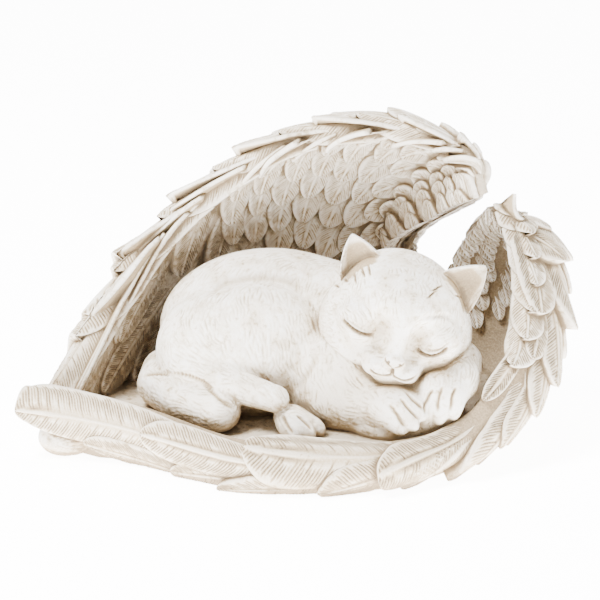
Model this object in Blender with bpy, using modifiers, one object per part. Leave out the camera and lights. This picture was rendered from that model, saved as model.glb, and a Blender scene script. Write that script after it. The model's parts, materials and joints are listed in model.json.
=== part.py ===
"""Pet memorial statue: a kitten asleep in a nest of two folded wings, cast in one piece.

Blender 4.5, metres, +Z up. The open front of the nest is at -Y, the wings' tips are at -X, and the
origin is on the flat underside, below the middle of the nest.
"""

import math

import bmesh
import bpy
import numpy as np
from mathutils import Euler, Matrix, Vector

# Driving sizes, in metres
LENGTH = 0.262
BASE_THICKNESS = 0.018
WING_WALL = 0.0085
FEATHER_STEP = 0.0032
EAR_WALL = 0.0030

# Fineness of the cast surface
FORM_VOXEL = 0.0016
CAST_VOXEL = 0.0010
CAST_TRIANGLES = 9700

# Forms below are drawn in the sculptor's millimetres, of which the length holds 266.5
UNIT = LENGTH / 266.5
FLOOR = BASE_THICKNESS / UNIT
WALL = WING_WALL / UNIT
STEP = FEATHER_STEP / UNIT
EAR = EAR_WALL / UNIT
ROOT_DEPTH = 1.5
SUNK = 3.0

# A feather's section: how far its root is tucked in (in steps), its crown (as a share of its
# width), and how thick its blade is in all and at the least
FEATHER_TUCK = 0.45
FEATHER_CROWN = 0.06
BLADE_DEPTH = 3.4
LEAST_BLADE = 2.2
OVERHANG_GAP = 0.75
MIDDLE_WIDTH = 16
EDGE_LIMIT = -0.008

STONE_COLOUR = (0.72, 0.66, 0.56, 1.0)
STONE_ROUGHNESS = 0.75

# Each wing is five rails from its leading edge (first) to its tips (last); the first rail runs
# along the ground and the fifth along the free edge above it
FAR_RAILS = (
    ((60, 70, -3), (50, 75, -3), (25, 79, -3), (0, 79, -3), (-28, 72, -3), (-54, 55, -3),
     (-79, 29, -3), (-101, -3, -3), (-119, -28, -2)),
    ((55, 74, 42), (48, 79, 46), (24, 84, 48), (-2, 84, 46), (-31, 76, 41), (-60, 58, 33),
     (-85, 30, 24), (-105, -3, 14), (-121, -28, 3)),
    ((52, 65, 76), (50, 70, 94), (31, 75, 100), (1, 76, 96), (-31, 70, 83), (-61, 54, 65),
     (-87, 28, 46), (-107, -3, 26), (-122, -28, 5)),
    ((74, 36, 102), (75, 35, 128), (48, 43, 140), (10, 46, 135), (-26, 46, 118), (-57, 40, 94),
     (-83, 24, 69), (-104, -2, 40), (-122, -28, 7)),
    ((88, 10, 117), (83, 16, 134), (48, 25, 144), (8, 28, 140), (-28, 31, 122), (-58, 30, 97),
     (-82, 18, 70), (-102, -6, 41), (-121, -28, 9)),
)
NEAR_RAILS = (
    ((76, 64, -3), (96, 36, -3), (97, 8, -3), (85, -15, -3), (61, -52, -3), (28, -72, -3),
     (-22, -70, -3), (-72, -40, 4), (-120, -30, 18)),
    ((77, 62, 32), (110, 40, 30), (116, 6, 24), (98, -26, 14), (67, -57, 7), (29, -75, 5),
     (-22, -73, 5), (-73, -44, 11), (-122, -30, 21)),
    ((79, 54, 66), (119, 36, 66), (123, 2, 48), (110, -33, 28), (73, -62, 13), (30, -78, 11),
     (-22, -75, 11), (-74, -45, 18), (-124, -30, 25)),
    ((86, 40, 89), (117, 24, 92), (121, -6, 69), (109, -37, 40), (74, -60, 19), (30, -76, 17),
     (-22, -73, 17), (-75, -44, 24), (-125, -30, 29)),
    ((97, 16, 109), (105, 2, 97), (107, -18, 73), (98, -38, 48), (72, -57, 25), (30, -72, 20),
     (-22, -69, 21), (-75, -41, 29), (-125, -28, 32)),
)


def catmull(knots, t):
    """Points of a Catmull-Rom curve through knots at t from 0 to 1, straight beyond its ends."""
    last = len(knots) - 1
    inside = np.clip(t, 0, 1) * last
    i = np.minimum(inside.astype(int), last - 1)
    f = (inside - i)[..., None]
    if knots.ndim == 3:
        pick = (lambda k: knots[k, np.arange(knots.shape[1])])
    else:
        pick = (lambda k: knots[k])
    b, c = pick(i), pick(i + 1)
    a = np.where((i > 0)[..., None], pick(np.maximum(i - 1, 0)), 2 * b - c)
    d = np.where((i < last - 1)[..., None], pick(np.minimum(i + 2, last)), 2 * c - b)
    tangent_b, tangent_c = (c - a) / 2, (d - b) / 2
    point = (
        b * (2 * f**3 - 3 * f**2 + 1) + tangent_b * (f**3 - 2 * f**2 + f)
        + c * (3 * f**2 - 2 * f**3) + tangent_c * (f**3 - f**2)
    )
    beyond = ((t - np.clip(t, 0, 1)) * last)[..., None]
    return point + beyond * np.where(t[..., None] > 0.5, tangent_c, tangent_b)


class Wing:
    """A curved sheet through rails: u runs from the leading edge to the tips, v up the sheet."""

    def __init__(self, rails, outward):
        self.rails = np.array(rails, float)
        self.outward = outward

    def middle(self, u, v):
        """Points halfway through the sheet, one for each pair of u and v."""
        shape = np.shape(u)
        u, v = np.ravel(u), np.ravel(v)
        across = np.array([catmull(rail, u) for rail in self.rails])
        return catmull(across, v).reshape(*shape, 3)

    def slopes(self, u, v):
        """How a point moves for a small change of u, and of v."""
        e = 1e-3
        along = (self.middle(u + e, v) - self.middle(u - e, v)) / (2 * e)
        up = (self.middle(u, v + e) - self.middle(u, v - e)) / (2 * e)
        return along, up

    def normal(self, u, v):
        """The unit direction that points out of the nest."""
        along, up = self.slopes(u, v)
        n = np.cross(along, up) * self.outward
        return n / np.maximum(np.linalg.norm(n, axis=-1, keepdims=True), 1e-9)

    def wall(self, u, v):
        """Thickness of the sheet: stout at the leading edge, thin at the free edge."""
        u, v = np.clip(u, 0, 1), np.clip(v, 0, 1)
        return WALL * (1 + 0.55 * np.exp(-u / 0.07)) * (1.1 - 0.45 * v**2) * (1 - 0.25 * u)

    def face(self, u, v, side, height):
        """Points at a height above the outer face (side 1) or the inner face (side -1)."""
        reach = side * (self.wall(u, v) / 2 + height)
        return self.middle(u, v) + self.normal(u, v) * reach[..., None]


FAR_WING = Wing(FAR_RAILS, 1)
NEAR_WING = Wing(NEAR_RAILS, -1)


def slab_template(rows, columns):
    """A closed flat slab as a mesh, with each vertex's place along, across and top or bottom."""
    bm = bmesh.new()
    bmesh.ops.create_grid(bm, x_segments=rows, y_segments=columns, size=1)
    made = bmesh.ops.extrude_face_region(bm, geom=bm.faces[:])
    top = [v for v in made["geom"] if isinstance(v, bmesh.types.BMVert)]
    bmesh.ops.translate(bm, verts=top, vec=(0, 0, 1))
    bmesh.ops.recalc_face_normals(bm, faces=bm.faces)
    mesh = bpy.data.meshes.new("slab_template")
    bm.to_mesh(mesh)
    bm.free()
    co = points_of(mesh)
    return mesh, (co[:, 0] + 1) / 2, co[:, 1], co[:, 2] > 0.5


def points_of(mesh):
    co = np.empty(len(mesh.vertices) * 3, np.float32)
    mesh.vertices.foreach_get("co", co)
    return co.reshape(-1, 3).astype(float)


def set_points(mesh, co):
    mesh.vertices.foreach_set("co", np.asarray(co, np.float32).ravel())
    mesh.update()


def add_shape(bm, template, co):
    """Adds a copy of the template mesh to bm, with its vertices at co in sculptor's millimetres."""
    shape = template.copy()
    set_points(shape, co)
    bm.from_mesh(shape)
    bpy.data.meshes.remove(shape)


def add_sheet(bm, wing):
    """The wing's own wall, before any feather is laid on it."""
    template, along, across, top = slab_template(72, 26)
    v = (across + 1) / 2
    side = np.where(top, 1.0, -1.0)
    add_shape(bm, template, wing.face(along, v, side, np.zeros(len(v))))
    bpy.data.meshes.remove(template)


def steps_of(su, sv, way):
    """The change of u and v that moves a point one millimetre along way."""
    a, b, c = (su * su).sum(-1), (su * sv).sum(-1), (sv * sv).sum(-1)
    p, q = (su * way).sum(-1), (sv * way).sum(-1)
    det = a * c - b * b
    return np.stack([(p * c - q * b) / det, (q * a - p * b) / det], axis=-1)


def slopes_near(wing, uv):
    """The wing's slopes at uv, or at the nearest place on the sheet."""
    return wing.slopes(np.clip(uv[..., 0], 0.004, 0.99), np.clip(uv[..., 1], 0.0, 1.0))


def root_of(wing, tip, length, hang):
    """Walks back from a feather's tip to its root. The feather runs along u and hangs down by
    the given share."""
    uv = np.array(tip, float)
    for _ in range(4):
        su, sv = slopes_near(wing, uv)
        way = su / np.linalg.norm(su)
        up = np.cross(np.cross(su, sv), way)
        up *= math.copysign(1, up[2]) / np.linalg.norm(up)
        way = way - up * hang * abs(up[2])
        uv -= steps_of(su, sv, way / np.linalg.norm(way)) * length / 4
    return uv


def feather_width(s, blunt):
    """Half width of a feather as a share of its widest, from root 0 to tip 1."""
    root = 0.75 + 0.25 * np.clip(s / 0.5, 0, 1)
    tip = np.clip((s - blunt) / (1 - blunt), 0, 1)
    return root * np.maximum(1 - tip**2.2, 0.0) ** 0.55 + 0.04


# A feather is the (u, v) of its tip and root, its width, its lift at the tip and how far along it
# the tip begins to round
def add_feathers(bm, wing, side, feathers, rows=11, columns=6):
    """Lays feathers on one face of a wing. Each is a closed blade, sunk at its root and raised at
    its tip, so that it lies over the next row like a roof tile."""
    template, s, t, top = slab_template(rows, columns)
    s = 1 - (1 - s) ** 1.5
    for tip, root, width, lift, blunt in feathers:
        tip, root = np.array(tip, float), np.array(root, float)
        middle = root + (tip - root) * s[:, None]
        su, sv = slopes_near(wing, middle)
        way = su * (tip - root)[0] + sv * (tip - root)[1]
        left = np.cross(np.cross(su, sv), way)
        left /= np.linalg.norm(left, axis=1, keepdims=True)
        half = width / 2 * feather_width(s, blunt)
        uv = middle + steps_of(su, sv, left) * (half * t)[:, None]
        uv[:, 0] = np.maximum(uv[:, 0], EDGE_LIMIT)
        bulk = (width / MIDDLE_WIDTH) ** 0.6
        rise = STEP * bulk * ((1 + FEATHER_TUCK) * s - FEATHER_TUCK + lift * s**3)
        height = rise + FEATHER_CROWN * width * (1 - t**2) * (1 - 0.3 * s)
        under = np.minimum(-ROOT_DEPTH, rise - BLADE_DEPTH * bulk)
        under += OVERHANG_GAP * np.maximum(lift * STEP * s**3 - 1, 0)
        under = np.minimum(under, height - LEAST_BLADE)
        height = np.where(top, height, under)
        add_shape(bm, template, wing.face(uv[:, 0], uv[:, 1], np.full(len(s), side), height))
    bpy.data.meshes.remove(template)


def tiles(wing, rows, seed):
    """Rows of short feathers. Each row is u of its tips, length, width, hang, v from and v to."""
    chance = np.random.default_rng(seed)
    feathers = []
    for k, (u, length, width, hang, low, high) in enumerate(rows):
        line = wing.middle(np.full(40, u), np.linspace(low, high, 40))
        height = np.linalg.norm(np.diff(line, axis=0), axis=1).sum()
        count = max(1, round(height / (width * 0.95)))
        for j in range(count + k % 2):
            v = low + (high - low) * (j + 0.5 - 0.5 * (k % 2)) / count
            shake = chance.uniform(-1, 1, 4)
            tip = (u + 0.006 * shake[0], v + 0.1 / count * shake[1])
            root = root_of(wing, tip, length * (1 + 0.1 * shake[2]), hang)
            width_here = width * (1.08 + 0.1 * shake[3])
            feathers.append((tip, root, width_here, 0.4 * chance.random(), 0.35))
    return feathers


def far_inner_feathers():
    """The far wing's inner face: small tiles at the shoulder, then long primaries."""
    rows = []
    u = 0.03
    for k in range(13):
        grow = k / 12
        length = 13 + 20 * grow
        width = 9.0 + 6.5 * min(grow * 1.5, 1)
        hang = 1.9 * min(max((u - 0.1) / 0.25, 0), 1)
        rows.append((u, length, width, hang, 0.04, 0.96))
        u += 0.026 + 0.026 * min(grow * 1.6, 1)
    feathers = tiles(FAR_WING, rows, 11)
    feathers += [
        ((0.64, 0.54), (0.555, 0.86), 20, 0.5, 0.55), ((0.56, 0.42), (0.50, 0.66), 17, 0.4, 0.5),
        ((0.63, 0.28), (0.55, 0.48), 18, 0.2, 0.55), ((0.72, 0.70), (0.58, 0.93), 17, 0.3, 0.6),
        ((0.76, 0.14), (0.63, 0.38), 17, 0.2, 0.6), ((0.84, 0.26), (0.60, 0.50), 17, 0.2, 0.65),
        ((0.90, 0.55), (0.62, 0.80), 19, 0.3, 0.7), ((0.99, 0.72), (0.66, 0.92), 20, 0.4, 0.75),
        ((0.99, 0.20), (0.78, 0.42), 15, 0.2, 0.75),
    ]
    return feathers


def far_outer_feathers():
    """The far wing's outer face, and the long feathers along its crest that break the outline."""
    rows = []
    u = 0.06
    for k in range(6):
        grow = k / 5
        rows.append((u, 30 + 18 * grow, 18 + 5 * grow, 0.3, 0.04, 0.84))
        u += 0.062 + 0.035 * grow
    feathers = tiles(FAR_WING, rows, 12)
    feathers += [
        ((0.09, 0.97), (0.03, 0.90), 13, 0.4, 0.45), ((0.16, 0.95), (0.08, 0.87), 15, 0.5, 0.5),
        ((0.25, 0.97), (0.14, 0.88), 16, 0.6, 0.5), ((0.37, 0.98), (0.22, 0.88), 18, 1.0, 0.5),
        ((0.49, 0.97), (0.30, 0.86), 18, 1.6, 0.55), ((0.61, 0.95), (0.42, 0.86), 18, 1.9, 0.55),
        ((0.73, 0.92), (0.54, 0.84), 18, 2.0, 0.55), ((0.70, 0.60), (0.48, 0.68), 19, 0.5, 0.6),
        ((0.72, 0.32), (0.50, 0.42), 19, 0.4, 0.6), ((0.72, 0.08), (0.50, 0.14), 18, 0.3, 0.6),
        ((0.86, 0.74), (0.60, 0.78), 17, 0.6, 0.65), ((0.88, 0.44), (0.62, 0.50), 17, 0.4, 0.65),
        ((0.88, 0.14), (0.62, 0.20), 17, 0.3, 0.65), ((0.99, 0.62), (0.66, 0.70), 17, 0.4, 0.75),
        ((1.0, 0.25), (0.68, 0.32), 15, 0.3, 0.75),
    ]
    return feathers


def near_outer_feathers():
    """The near wing's outer face: tiles at the shoulder, then blades along the front rim."""
    rows = [
        (0.05, 17, 12, 1.0, 0.02, 0.98), (0.09, 20, 13, 1.0, 0.02, 0.98),
        (0.135, 24, 15, 0.9, 0.02, 0.96), (0.185, 30, 17, 0.8, 0.02, 0.70),
        (0.24, 34, 17, 0.7, 0.02, 0.62),
    ]
    feathers = tiles(NEAR_WING, rows, 21)
    feathers += [
        ((0.20, 0.80), (0.10, 0.99), 19, 1.0, 0.5), ((0.17, 0.66), (0.08, 0.84), 18, 0.9, 0.5),
        ((0.285, 0.92), (0.13, 1.0), 20, 0.6, 0.55), ((0.28, 0.66), (0.16, 0.84), 19, 1.3, 0.5),
        ((0.36, 0.64), (0.25, 0.80), 17, 0.8, 0.55), ((0.40, 0.58), (0.31, 0.82), 15, 0.6, 0.55),
        ((0.355, 0.86), (0.23, 0.95), 12, 0.4, 0.6), ((0.445, 0.48), (0.36, 0.74), 13, 0.5, 0.6),
        ((0.38, 0.20), (0.26, 0.36), 17, 0.4, 0.6), ((0.44, 0.16), (0.33, 0.44), 15, 0.4, 0.6),
        ((0.505, 0.26), (0.37, 0.86), 15, 1.2, 0.65), ((0.445, 1.0), (0.32, 0.96), 9, 0.5, 0.65),
        ((0.575, 0.25), (0.48, 0.66), 13, 0.5, 0.6), ((0.61, 0.52), (0.47, 0.82), 15, 1.0, 0.6),
        ((0.675, 0.29), (0.56, 0.50), 14, 0.6, 0.6), ((0.75, 0.78), (0.56, 0.66), 19, 0.9, 0.6),
        ((0.775, 0.18), (0.63, 0.38), 15, 0.7, 0.6), ((0.83, 0.15), (0.74, 0.32), 12, 0.3, 0.6),
        ((0.86, 0.60), (0.70, 0.62), 15, 0.8, 0.6), ((1.012, 0.60), (0.74, 0.52), 19, 0.8, 0.86),
    ]
    return feathers


def near_inner_feathers():
    """The near wing's inner face, which shades the head: many small tiles that hang down."""
    rows = [
        (0.02, 13, 8, 2.5, 0.3, 1.0), (0.055, 14, 8, 2.5, 0.3, 1.0), (0.09, 15, 8, 2.5, 0.3, 1.0),
        (0.125, 18, 9, 2.5, 0.3, 1.0), (0.165, 22, 11, 2.2, 0.3, 0.96),
        (0.21, 28, 12, 2.0, 0.3, 0.92), (0.26, 30, 13, 1.5, 0.4, 0.94),
        (0.32, 34, 13, 0.8, 0.5, 0.96), (0.39, 36, 13, 0.4, 0.6, 0.96),
    ]
    return tiles(NEAR_WING, rows, 22)


# Where the two wings grow together at the back, and the far wing's rounded last tip
WING_JOINT = ((68, 66, 12), (16, 9, 26), (0, 0, -35))
FAR_TIP = ((-106, -23, 7), (13, 12, 8.5), (0, 0, 25))


def add_base(bm):
    """The floor of the nest: a flat slab whose edge follows both wings' feet."""
    count = 48
    near = NEAR_WING.middle(np.linspace(0, 0.93, count), np.zeros(count))
    far = FAR_WING.middle(np.linspace(0.96, 0, count), np.zeros(count))
    edge = np.concatenate([near, far])[:, :2]
    verts = [bm.verts.new((x, y, -SUNK)) for x, y in edge]
    bottom = bm.faces.new(verts)
    made = bmesh.ops.extrude_face_region(bm, geom=[bottom])
    top = [v for v in made["geom"] if isinstance(v, bmesh.types.BMVert)]
    bmesh.ops.translate(bm, verts=top, vec=(0, 0, FLOOR + SUNK))
    bmesh.ops.triangulate(bm, faces=[f for f in bm.faces if len(f.verts) > 4])


# The kitten's forms. A round form is centre, radii and turn in degrees about X, Y and Z, and a limb
# is a chain of centres with a radius each. Heights are above the nest's floor
TORSO = (
    ((-10, 14, 29.5), (56, 39, 39.5), (0, 3, 0)),
    ((30, 8, 26), (34, 32, 30), (0, 0, 0)),
    ((32, -8, 34), (28, 24, 26), (0, 0, 0)),
)
THIGH = (
    ((-18, -19, 30), (33, 21, 33), (0, 8, 0)),
    ((-41, -8, 26), (26, 28, 28), (0, 0, 0)),
)
CHEST = (
    ((18, -28, 20), (22, 22, 24), (0, 0, 0)),
    ((30, -32, 10), (27, 20, 14), (0, 0, 0)),
    ((56, -34, 11.5), (22, 15, 13.5), (0, 0, 0)),
)
TAIL = ((-52, 20, 14, 10), (-64, 4, 12, 10.5), (-65, -14, 11, 11), (-52, -34, 10.5, 11),
        (-36, -46, 10, 10.5))
SHANK = ((-50, -28, 24, 9.5), (-30, -42, 21, 8), (-9.5, -50, 17, 6.5))
HIND_PAW = (
    ((-1, -51, 6.5), (10, 8.5, 7), (0, 20, -30)),
    ((-3, -57.5, 4.5), (7.5, 4.2, 4.8), (0, 15, -50)),
    ((2.5, -55.5, 4.5), (8.5, 4.3, 4.8), (0, 15, -42)),
    ((7, -51.5, 4.5), (8, 4.1, 4.8), (0, 15, -34)),
)
LEFT_ARM = ((14, -34, 12, 12), (28, -44, 13, 11), (39, -50, 14, 10))
LEFT_PAW = (
    ((45, -54.5, 14.5), (13, 11, 10.5), (0, 0, 0)),
    ((45, -60.5, 10.5), (9.5, 4.2, 4.8), (0, 27, -52)),
    ((50, -59.5, 13), (10.5, 4.3, 5), (0, 27, -52)),
    ((54.5, -56.5, 16), (9.5, 4.0, 4.8), (0, 27, -52)),
)
RIGHT_ARM = ((69, -14, 24, 13), (76, -30, 27, 12), (75, -42, 24, 11), (69, -49, 20, 10))
RIGHT_PAW = (
    ((67, -50, 20), (12, 9.5, 11), (0, 0, 0)),
    ((60.5, -55, 16), (4.3, 5, 9), (-14, 8, 0)),
    ((67, -56.5, 16.5), (4.6, 5, 9.5), (-14, 6, 0)),
    ((73.5, -54.5, 17.5), (4.3, 5, 9), (-14, 4, 0)),
)

# How softly the forms run together: within the torso, the haunch, the chest, where these meet, at
# the tail, within a paw, at the arms, and the same over the head
TORSO_BLEND, HAUNCH_BLEND, CHEST_BLEND, BODY_BLEND, TAIL_BLEND = 16, 14, 10, 3, 1.5
HIND_PAW_BLEND, FRONT_PAW_BLEND, ARM_BLEND = 2, 2.5, 3
SKULL_BLEND, RUFF_BLEND, BRIDGE_BLEND, LID_BLEND, MUZZLE_BLEND = 12, 8, 8, 5, 4
HOLLOW_BLEND, NOSE_BLEND, NECK_BLEND = 6, 1.5, 3

# The head is drawn about its own centre: X to the kitten's left, -Y out of the face, Z up
HEAD_CENTRE = (50, -25, 49)
HEAD_TURN = (10, 0, -6)
HEAD_ROLL = 14.0
SKULL = (
    ((-2.5, 3, 3), (30.5, 29, 26.5), (0, 8, 0)),
    ((0, -11, 12), (22, 17, 14), (0, 0, 0)),
    ((-18, -6, -11), (18, 19, 18.5), (0, 0, 0)),
    ((14.5, -6, -8), (17.5, 19, 17), (0, 0, 0)),
)
RUFF = (
    ((-28.5, 1, -6), (8, 11, 13), (0, 12, 0)),
    ((24.5, 2, -4), (8, 11, 13), (0, -12, 0)),
)
MUZZLE = (
    ((-6.5, -27, -11.5), (9.5, 8.5, 6.2), (0, 0, 14)),
    ((6.5, -27, -11.5), (9.5, 8.5, 6.2), (0, 0, -14)),
    ((0, -24, -17.5), (9, 8, 5.5), (0, 0, 0)),
)
NOSE = (((0, -33.2, -5.6), (4.6, 3.2, 3.0), (-20, 0, 0)),)
BRIDGE = ((0, -19, 12, 9), (0, -26, 3, 6.5), (0, -31, -4, 4.6))
LIDS = (
    ((-19, -19.5, 4), (10.5, 9, 9), (0, 8, 14)),
    ((17, -19.5, 4), (10.5, 9, 9), (0, -8, -14)),
)
HOLLOWS = (
    ((-9.5, -33, 5), (3.8, 8, 8), (0, -8, 0)),
    ((9.0, -33, 5), (3.8, 8, 8), (0, 8, 0)),
    ((-18.5, -35, -11), (4.5, 8, 6), (0, 30, 0)),
    ((18.0, -34, -12), (4.5, 8, 6), (0, -30, 0)),
)


def head_matrix():
    """From the head's own frame to the statue's, heights above the floor."""
    pitch, _, yaw = (math.radians(a) for a in HEAD_TURN)
    turn = Matrix.Rotation(yaw, 4, "Z") @ Matrix.Rotation(pitch, 4, "X")
    roll = Matrix.Rotation(math.radians(HEAD_ROLL), 4, "Y")
    return Matrix.Translation(HEAD_CENTRE) @ turn @ roll


def ellipsoid(p, form, frame=None):
    """Distance from points p to a round form, below zero inside it."""
    centre, radii, turn = form
    matrix = Matrix.Translation(centre) @ Euler([math.radians(a) for a in turn]).to_matrix().to_4x4()
    if frame is not None:
        matrix = frame @ matrix
    inverse = np.array(matrix.inverted())
    q = p @ inverse[:3, :3].T + inverse[:3, 3]
    r = np.array(radii, float)
    k0 = np.linalg.norm(q / r, axis=1)
    k1 = np.linalg.norm(q / r**2, axis=1)
    return k0 * (k0 - 1) / np.maximum(k1, 1e-6)


def limb(p, chain, frame=None):
    """Distance from points p to a chain of tapering round bars."""
    best = np.full(len(p), 1e9)
    knots = [np.array(frame @ Vector(c[:3]) if frame is not None else c[:3], float) for c in chain]
    for (a, b, ra, rb) in zip(knots, knots[1:], [c[3] for c in chain], [c[3] for c in chain][1:]):
        along = b - a
        h = np.clip(((p - a) @ along) / (along @ along), 0, 1)
        best = np.minimum(best, np.linalg.norm(p - a - h[:, None] * along, axis=1) - ra - (rb - ra) * h)
    return best


def soft_union(distances, blend):
    """The union of forms with a fillet of about half the blend where they meet."""
    total = distances[0]
    for d in distances[1:]:
        h = np.maximum(blend - np.abs(total - d), 0) / blend
        total = np.minimum(total, d) - h * h * blend / 4
    return total


def body_distance(p):
    """Distance from points p to the body, its forms run together as modelled clay is."""
    body = soft_union([ellipsoid(p, f) for f in TORSO], TORSO_BLEND)
    thigh = soft_union([ellipsoid(p, f) for f in THIGH], HAUNCH_BLEND)
    body = soft_union([body, thigh], BODY_BLEND)
    chest = soft_union([ellipsoid(p, f) for f in CHEST], CHEST_BLEND)
    body = soft_union([body, chest, limb(p, SHANK)], BODY_BLEND)
    hind_paw = soft_union([ellipsoid(p, f) for f in HIND_PAW], HIND_PAW_BLEND)
    body = soft_union([body, hind_paw, limb(p, TAIL)], TAIL_BLEND)
    left = soft_union([limb(p, LEFT_ARM)] + [ellipsoid(p, f) for f in LEFT_PAW], FRONT_PAW_BLEND)
    right = soft_union([limb(p, RIGHT_ARM)] + [ellipsoid(p, f) for f in RIGHT_PAW], FRONT_PAW_BLEND)
    return soft_union([body, left, right], ARM_BLEND)


def head_distance(p, head):
    """Distance from points p to the head, with its eye sockets and cheeks hollowed."""
    face = soft_union([ellipsoid(p, f, head) for f in SKULL], SKULL_BLEND)
    face = soft_union([face] + [ellipsoid(p, f, head) for f in RUFF], RUFF_BLEND)
    face = soft_union([face, limb(p, BRIDGE, head)], BRIDGE_BLEND)
    face = soft_union([face] + [ellipsoid(p, f, head) for f in LIDS], LID_BLEND)
    face = soft_union([face] + [ellipsoid(p, f, head) for f in MUZZLE], MUZZLE_BLEND)
    for hollow in HOLLOWS:
        face = -soft_union([-face, ellipsoid(p, hollow, head)], HOLLOW_BLEND)
    return soft_union([face] + [ellipsoid(p, f, head) for f in NOSE], NOSE_BLEND)


def kitten_distance(p, head):
    return soft_union([body_distance(p), head_distance(p, head)], NECK_BLEND)


def add_round(bm, form, frame=None):
    centre, radii, turn = form
    matrix = Matrix.Translation(centre) @ Euler([math.radians(a) for a in turn]).to_matrix().to_4x4()
    if frame is not None:
        matrix = frame @ matrix
    matrix = matrix @ Matrix.Diagonal((*radii, 1))
    bmesh.ops.create_icosphere(bm, subdivisions=3, radius=1, matrix=matrix)


def add_limb(bm, chain, frame=None):
    """Overlapping balls along the chain, close enough to fuse into one bar."""
    for a, b in zip(chain, chain[1:]):
        a, b = np.array(a, float), np.array(b, float)
        count = max(2, int(np.linalg.norm((b - a)[:3]) / 2.5))
        for k in range(count + 1):
            x, y, z, r = a + (b - a) * k / count
            matrix = Matrix.Translation((x, y, z))
            if frame is not None:
                matrix = frame @ matrix
            bmesh.ops.create_icosphere(bm, subdivisions=2, radius=r, matrix=matrix)


def rough_kitten(head):
    """The kitten's forms as overlapping balls and bars, in one bmesh."""
    bm = bmesh.new()
    for form in TORSO + THIGH + CHEST + HIND_PAW + LEFT_PAW + RIGHT_PAW:
        add_round(bm, form)
    for chain in (TAIL, SHANK, LEFT_ARM, RIGHT_ARM):
        add_limb(bm, chain)
    for form in SKULL + RUFF + MUZZLE + NOSE + LIDS:
        add_round(bm, form, head)
    add_limb(bm, BRIDGE, head)
    return bm


def model_kitten(head):
    """Fuses the rough forms and draws each vertex onto the run-together clay surface."""
    obj = object_from(rough_kitten(head), "kitten_form")
    mesh = remeshed(obj, FORM_VOXEL / UNIT)
    co = points_of(mesh)
    for _ in range(5):
        d = kitten_distance(co, head)
        e = 0.05
        slope = np.stack(
            [kitten_distance(co + np.eye(3)[k] * e, head) - d for k in range(3)], axis=1
        ) / e
        length = np.maximum((slope**2).sum(1), 0.2)
        co -= np.clip(d / length, -2, 2)[:, None] * slope
    co[:, 2] += FLOOR
    set_points(mesh, co)
    return mesh


# An ear is the centre of its base, turn in degrees, width, height and how far its tip leans
# out, in the head's frame
EAR_CUP = 8.0
EARS = (
    ((-24.5, -1, 19), (-8, -25, 8), 24, 18, -0.5),
    ((19.5, -1, 18), (-8, 34, -8), 25, 20.5, 0),
)


def add_ear(bm, ear, head):
    """A cupped triangular leaf with a rounded tip, open to the front."""
    centre, turn, width, height, lean = ear
    template, s, t, back = slab_template(14, 12)
    half = width / 2 * (1 - np.clip(s, 0, 1) ** 1.6) ** 0.8 + 0.8
    x = half * t + lean * s**2
    z = height * (s * 1.25 - 0.25)
    cup = EAR_CUP * (1 - np.abs(t) ** 2.4) * (1 - 0.75 * s) + 1.5 * s
    y = cup + np.where(back, EAR * (1.0 + 1.2 * (1 - t**2) * (1 - s)), 0)
    matrix = Matrix.Translation(centre) @ Euler([math.radians(a) for a in turn]).to_matrix().to_4x4()
    m = np.array(Matrix.Translation((0, 0, FLOOR)) @ head @ matrix)
    co = np.stack([x, y, z], axis=1) @ m[:3, :3].T + m[:3, 3]
    add_shape(bm, template, co)
    bpy.data.meshes.remove(template)


def object_from(bm, name):
    mesh = bpy.data.meshes.new(name)
    bm.to_mesh(mesh)
    bm.free()
    obj = bpy.data.objects.new(name, mesh)
    bpy.context.scene.collection.objects.link(obj)
    return obj


def remeshed(obj, voxel):
    """The object's shapes fused into one skin; the object itself is removed."""
    remesh = obj.modifiers.new("fuse", "REMESH")
    remesh.mode = "VOXEL"
    remesh.voxel_size = voxel
    remesh.adaptivity = 0
    graph = bpy.context.evaluated_depsgraph_get()
    mesh = bpy.data.meshes.new_from_object(obj.evaluated_get(graph))
    bpy.data.objects.remove(obj)
    return mesh


def keep_outer_skin(bm):
    """Deletes every island of faces but the largest: the skins of sealed pockets in the casting."""
    seen, islands = set(), []
    for start in bm.verts:
        if start in seen:
            continue
        island, stack = [], [start]
        seen.add(start)
        while stack:
            vert = stack.pop()
            island.append(vert)
            for edge in vert.link_edges:
                other = edge.other_vert(vert)
                if other not in seen:
                    seen.add(other)
                    stack.append(other)
        islands.append(island)
    islands.sort(key=len)
    loose = [v for island in islands[:-1] for v in island]
    bmesh.ops.delete(bm, geom=loose, context="VERTS")


def cut_flat(bm):
    """Cuts the casting off flat at the ground, as its underside is sanded."""
    cut = bmesh.ops.bisect_plane(
        bm, geom=bm.verts[:] + bm.edges[:] + bm.faces[:], dist=1e-6,
        plane_co=(0, 0, 0), plane_no=(0, 0, 1), clear_inner=True,
    )
    rim = [e for e in cut["geom_cut"] if isinstance(e, bmesh.types.BMEdge)]
    for vert in {v for e in rim for v in e.verts}:
        vert.co.z = 0
    made = bmesh.ops.holes_fill(bm, edges=rim, sides=0)
    bmesh.ops.triangulate(bm, faces=made["faces"])
    bmesh.ops.recalc_face_normals(bm, faces=bm.faces)


def stone_material():
    material = bpy.data.materials.new("cast_stone")
    material.use_nodes = True
    shader = material.node_tree.nodes["Principled BSDF"]
    shader.inputs["Base Color"].default_value = STONE_COLOUR
    shader.inputs["Roughness"].default_value = STONE_ROUGHNESS
    shader.inputs["Metallic"].default_value = 0.0
    return material


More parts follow.
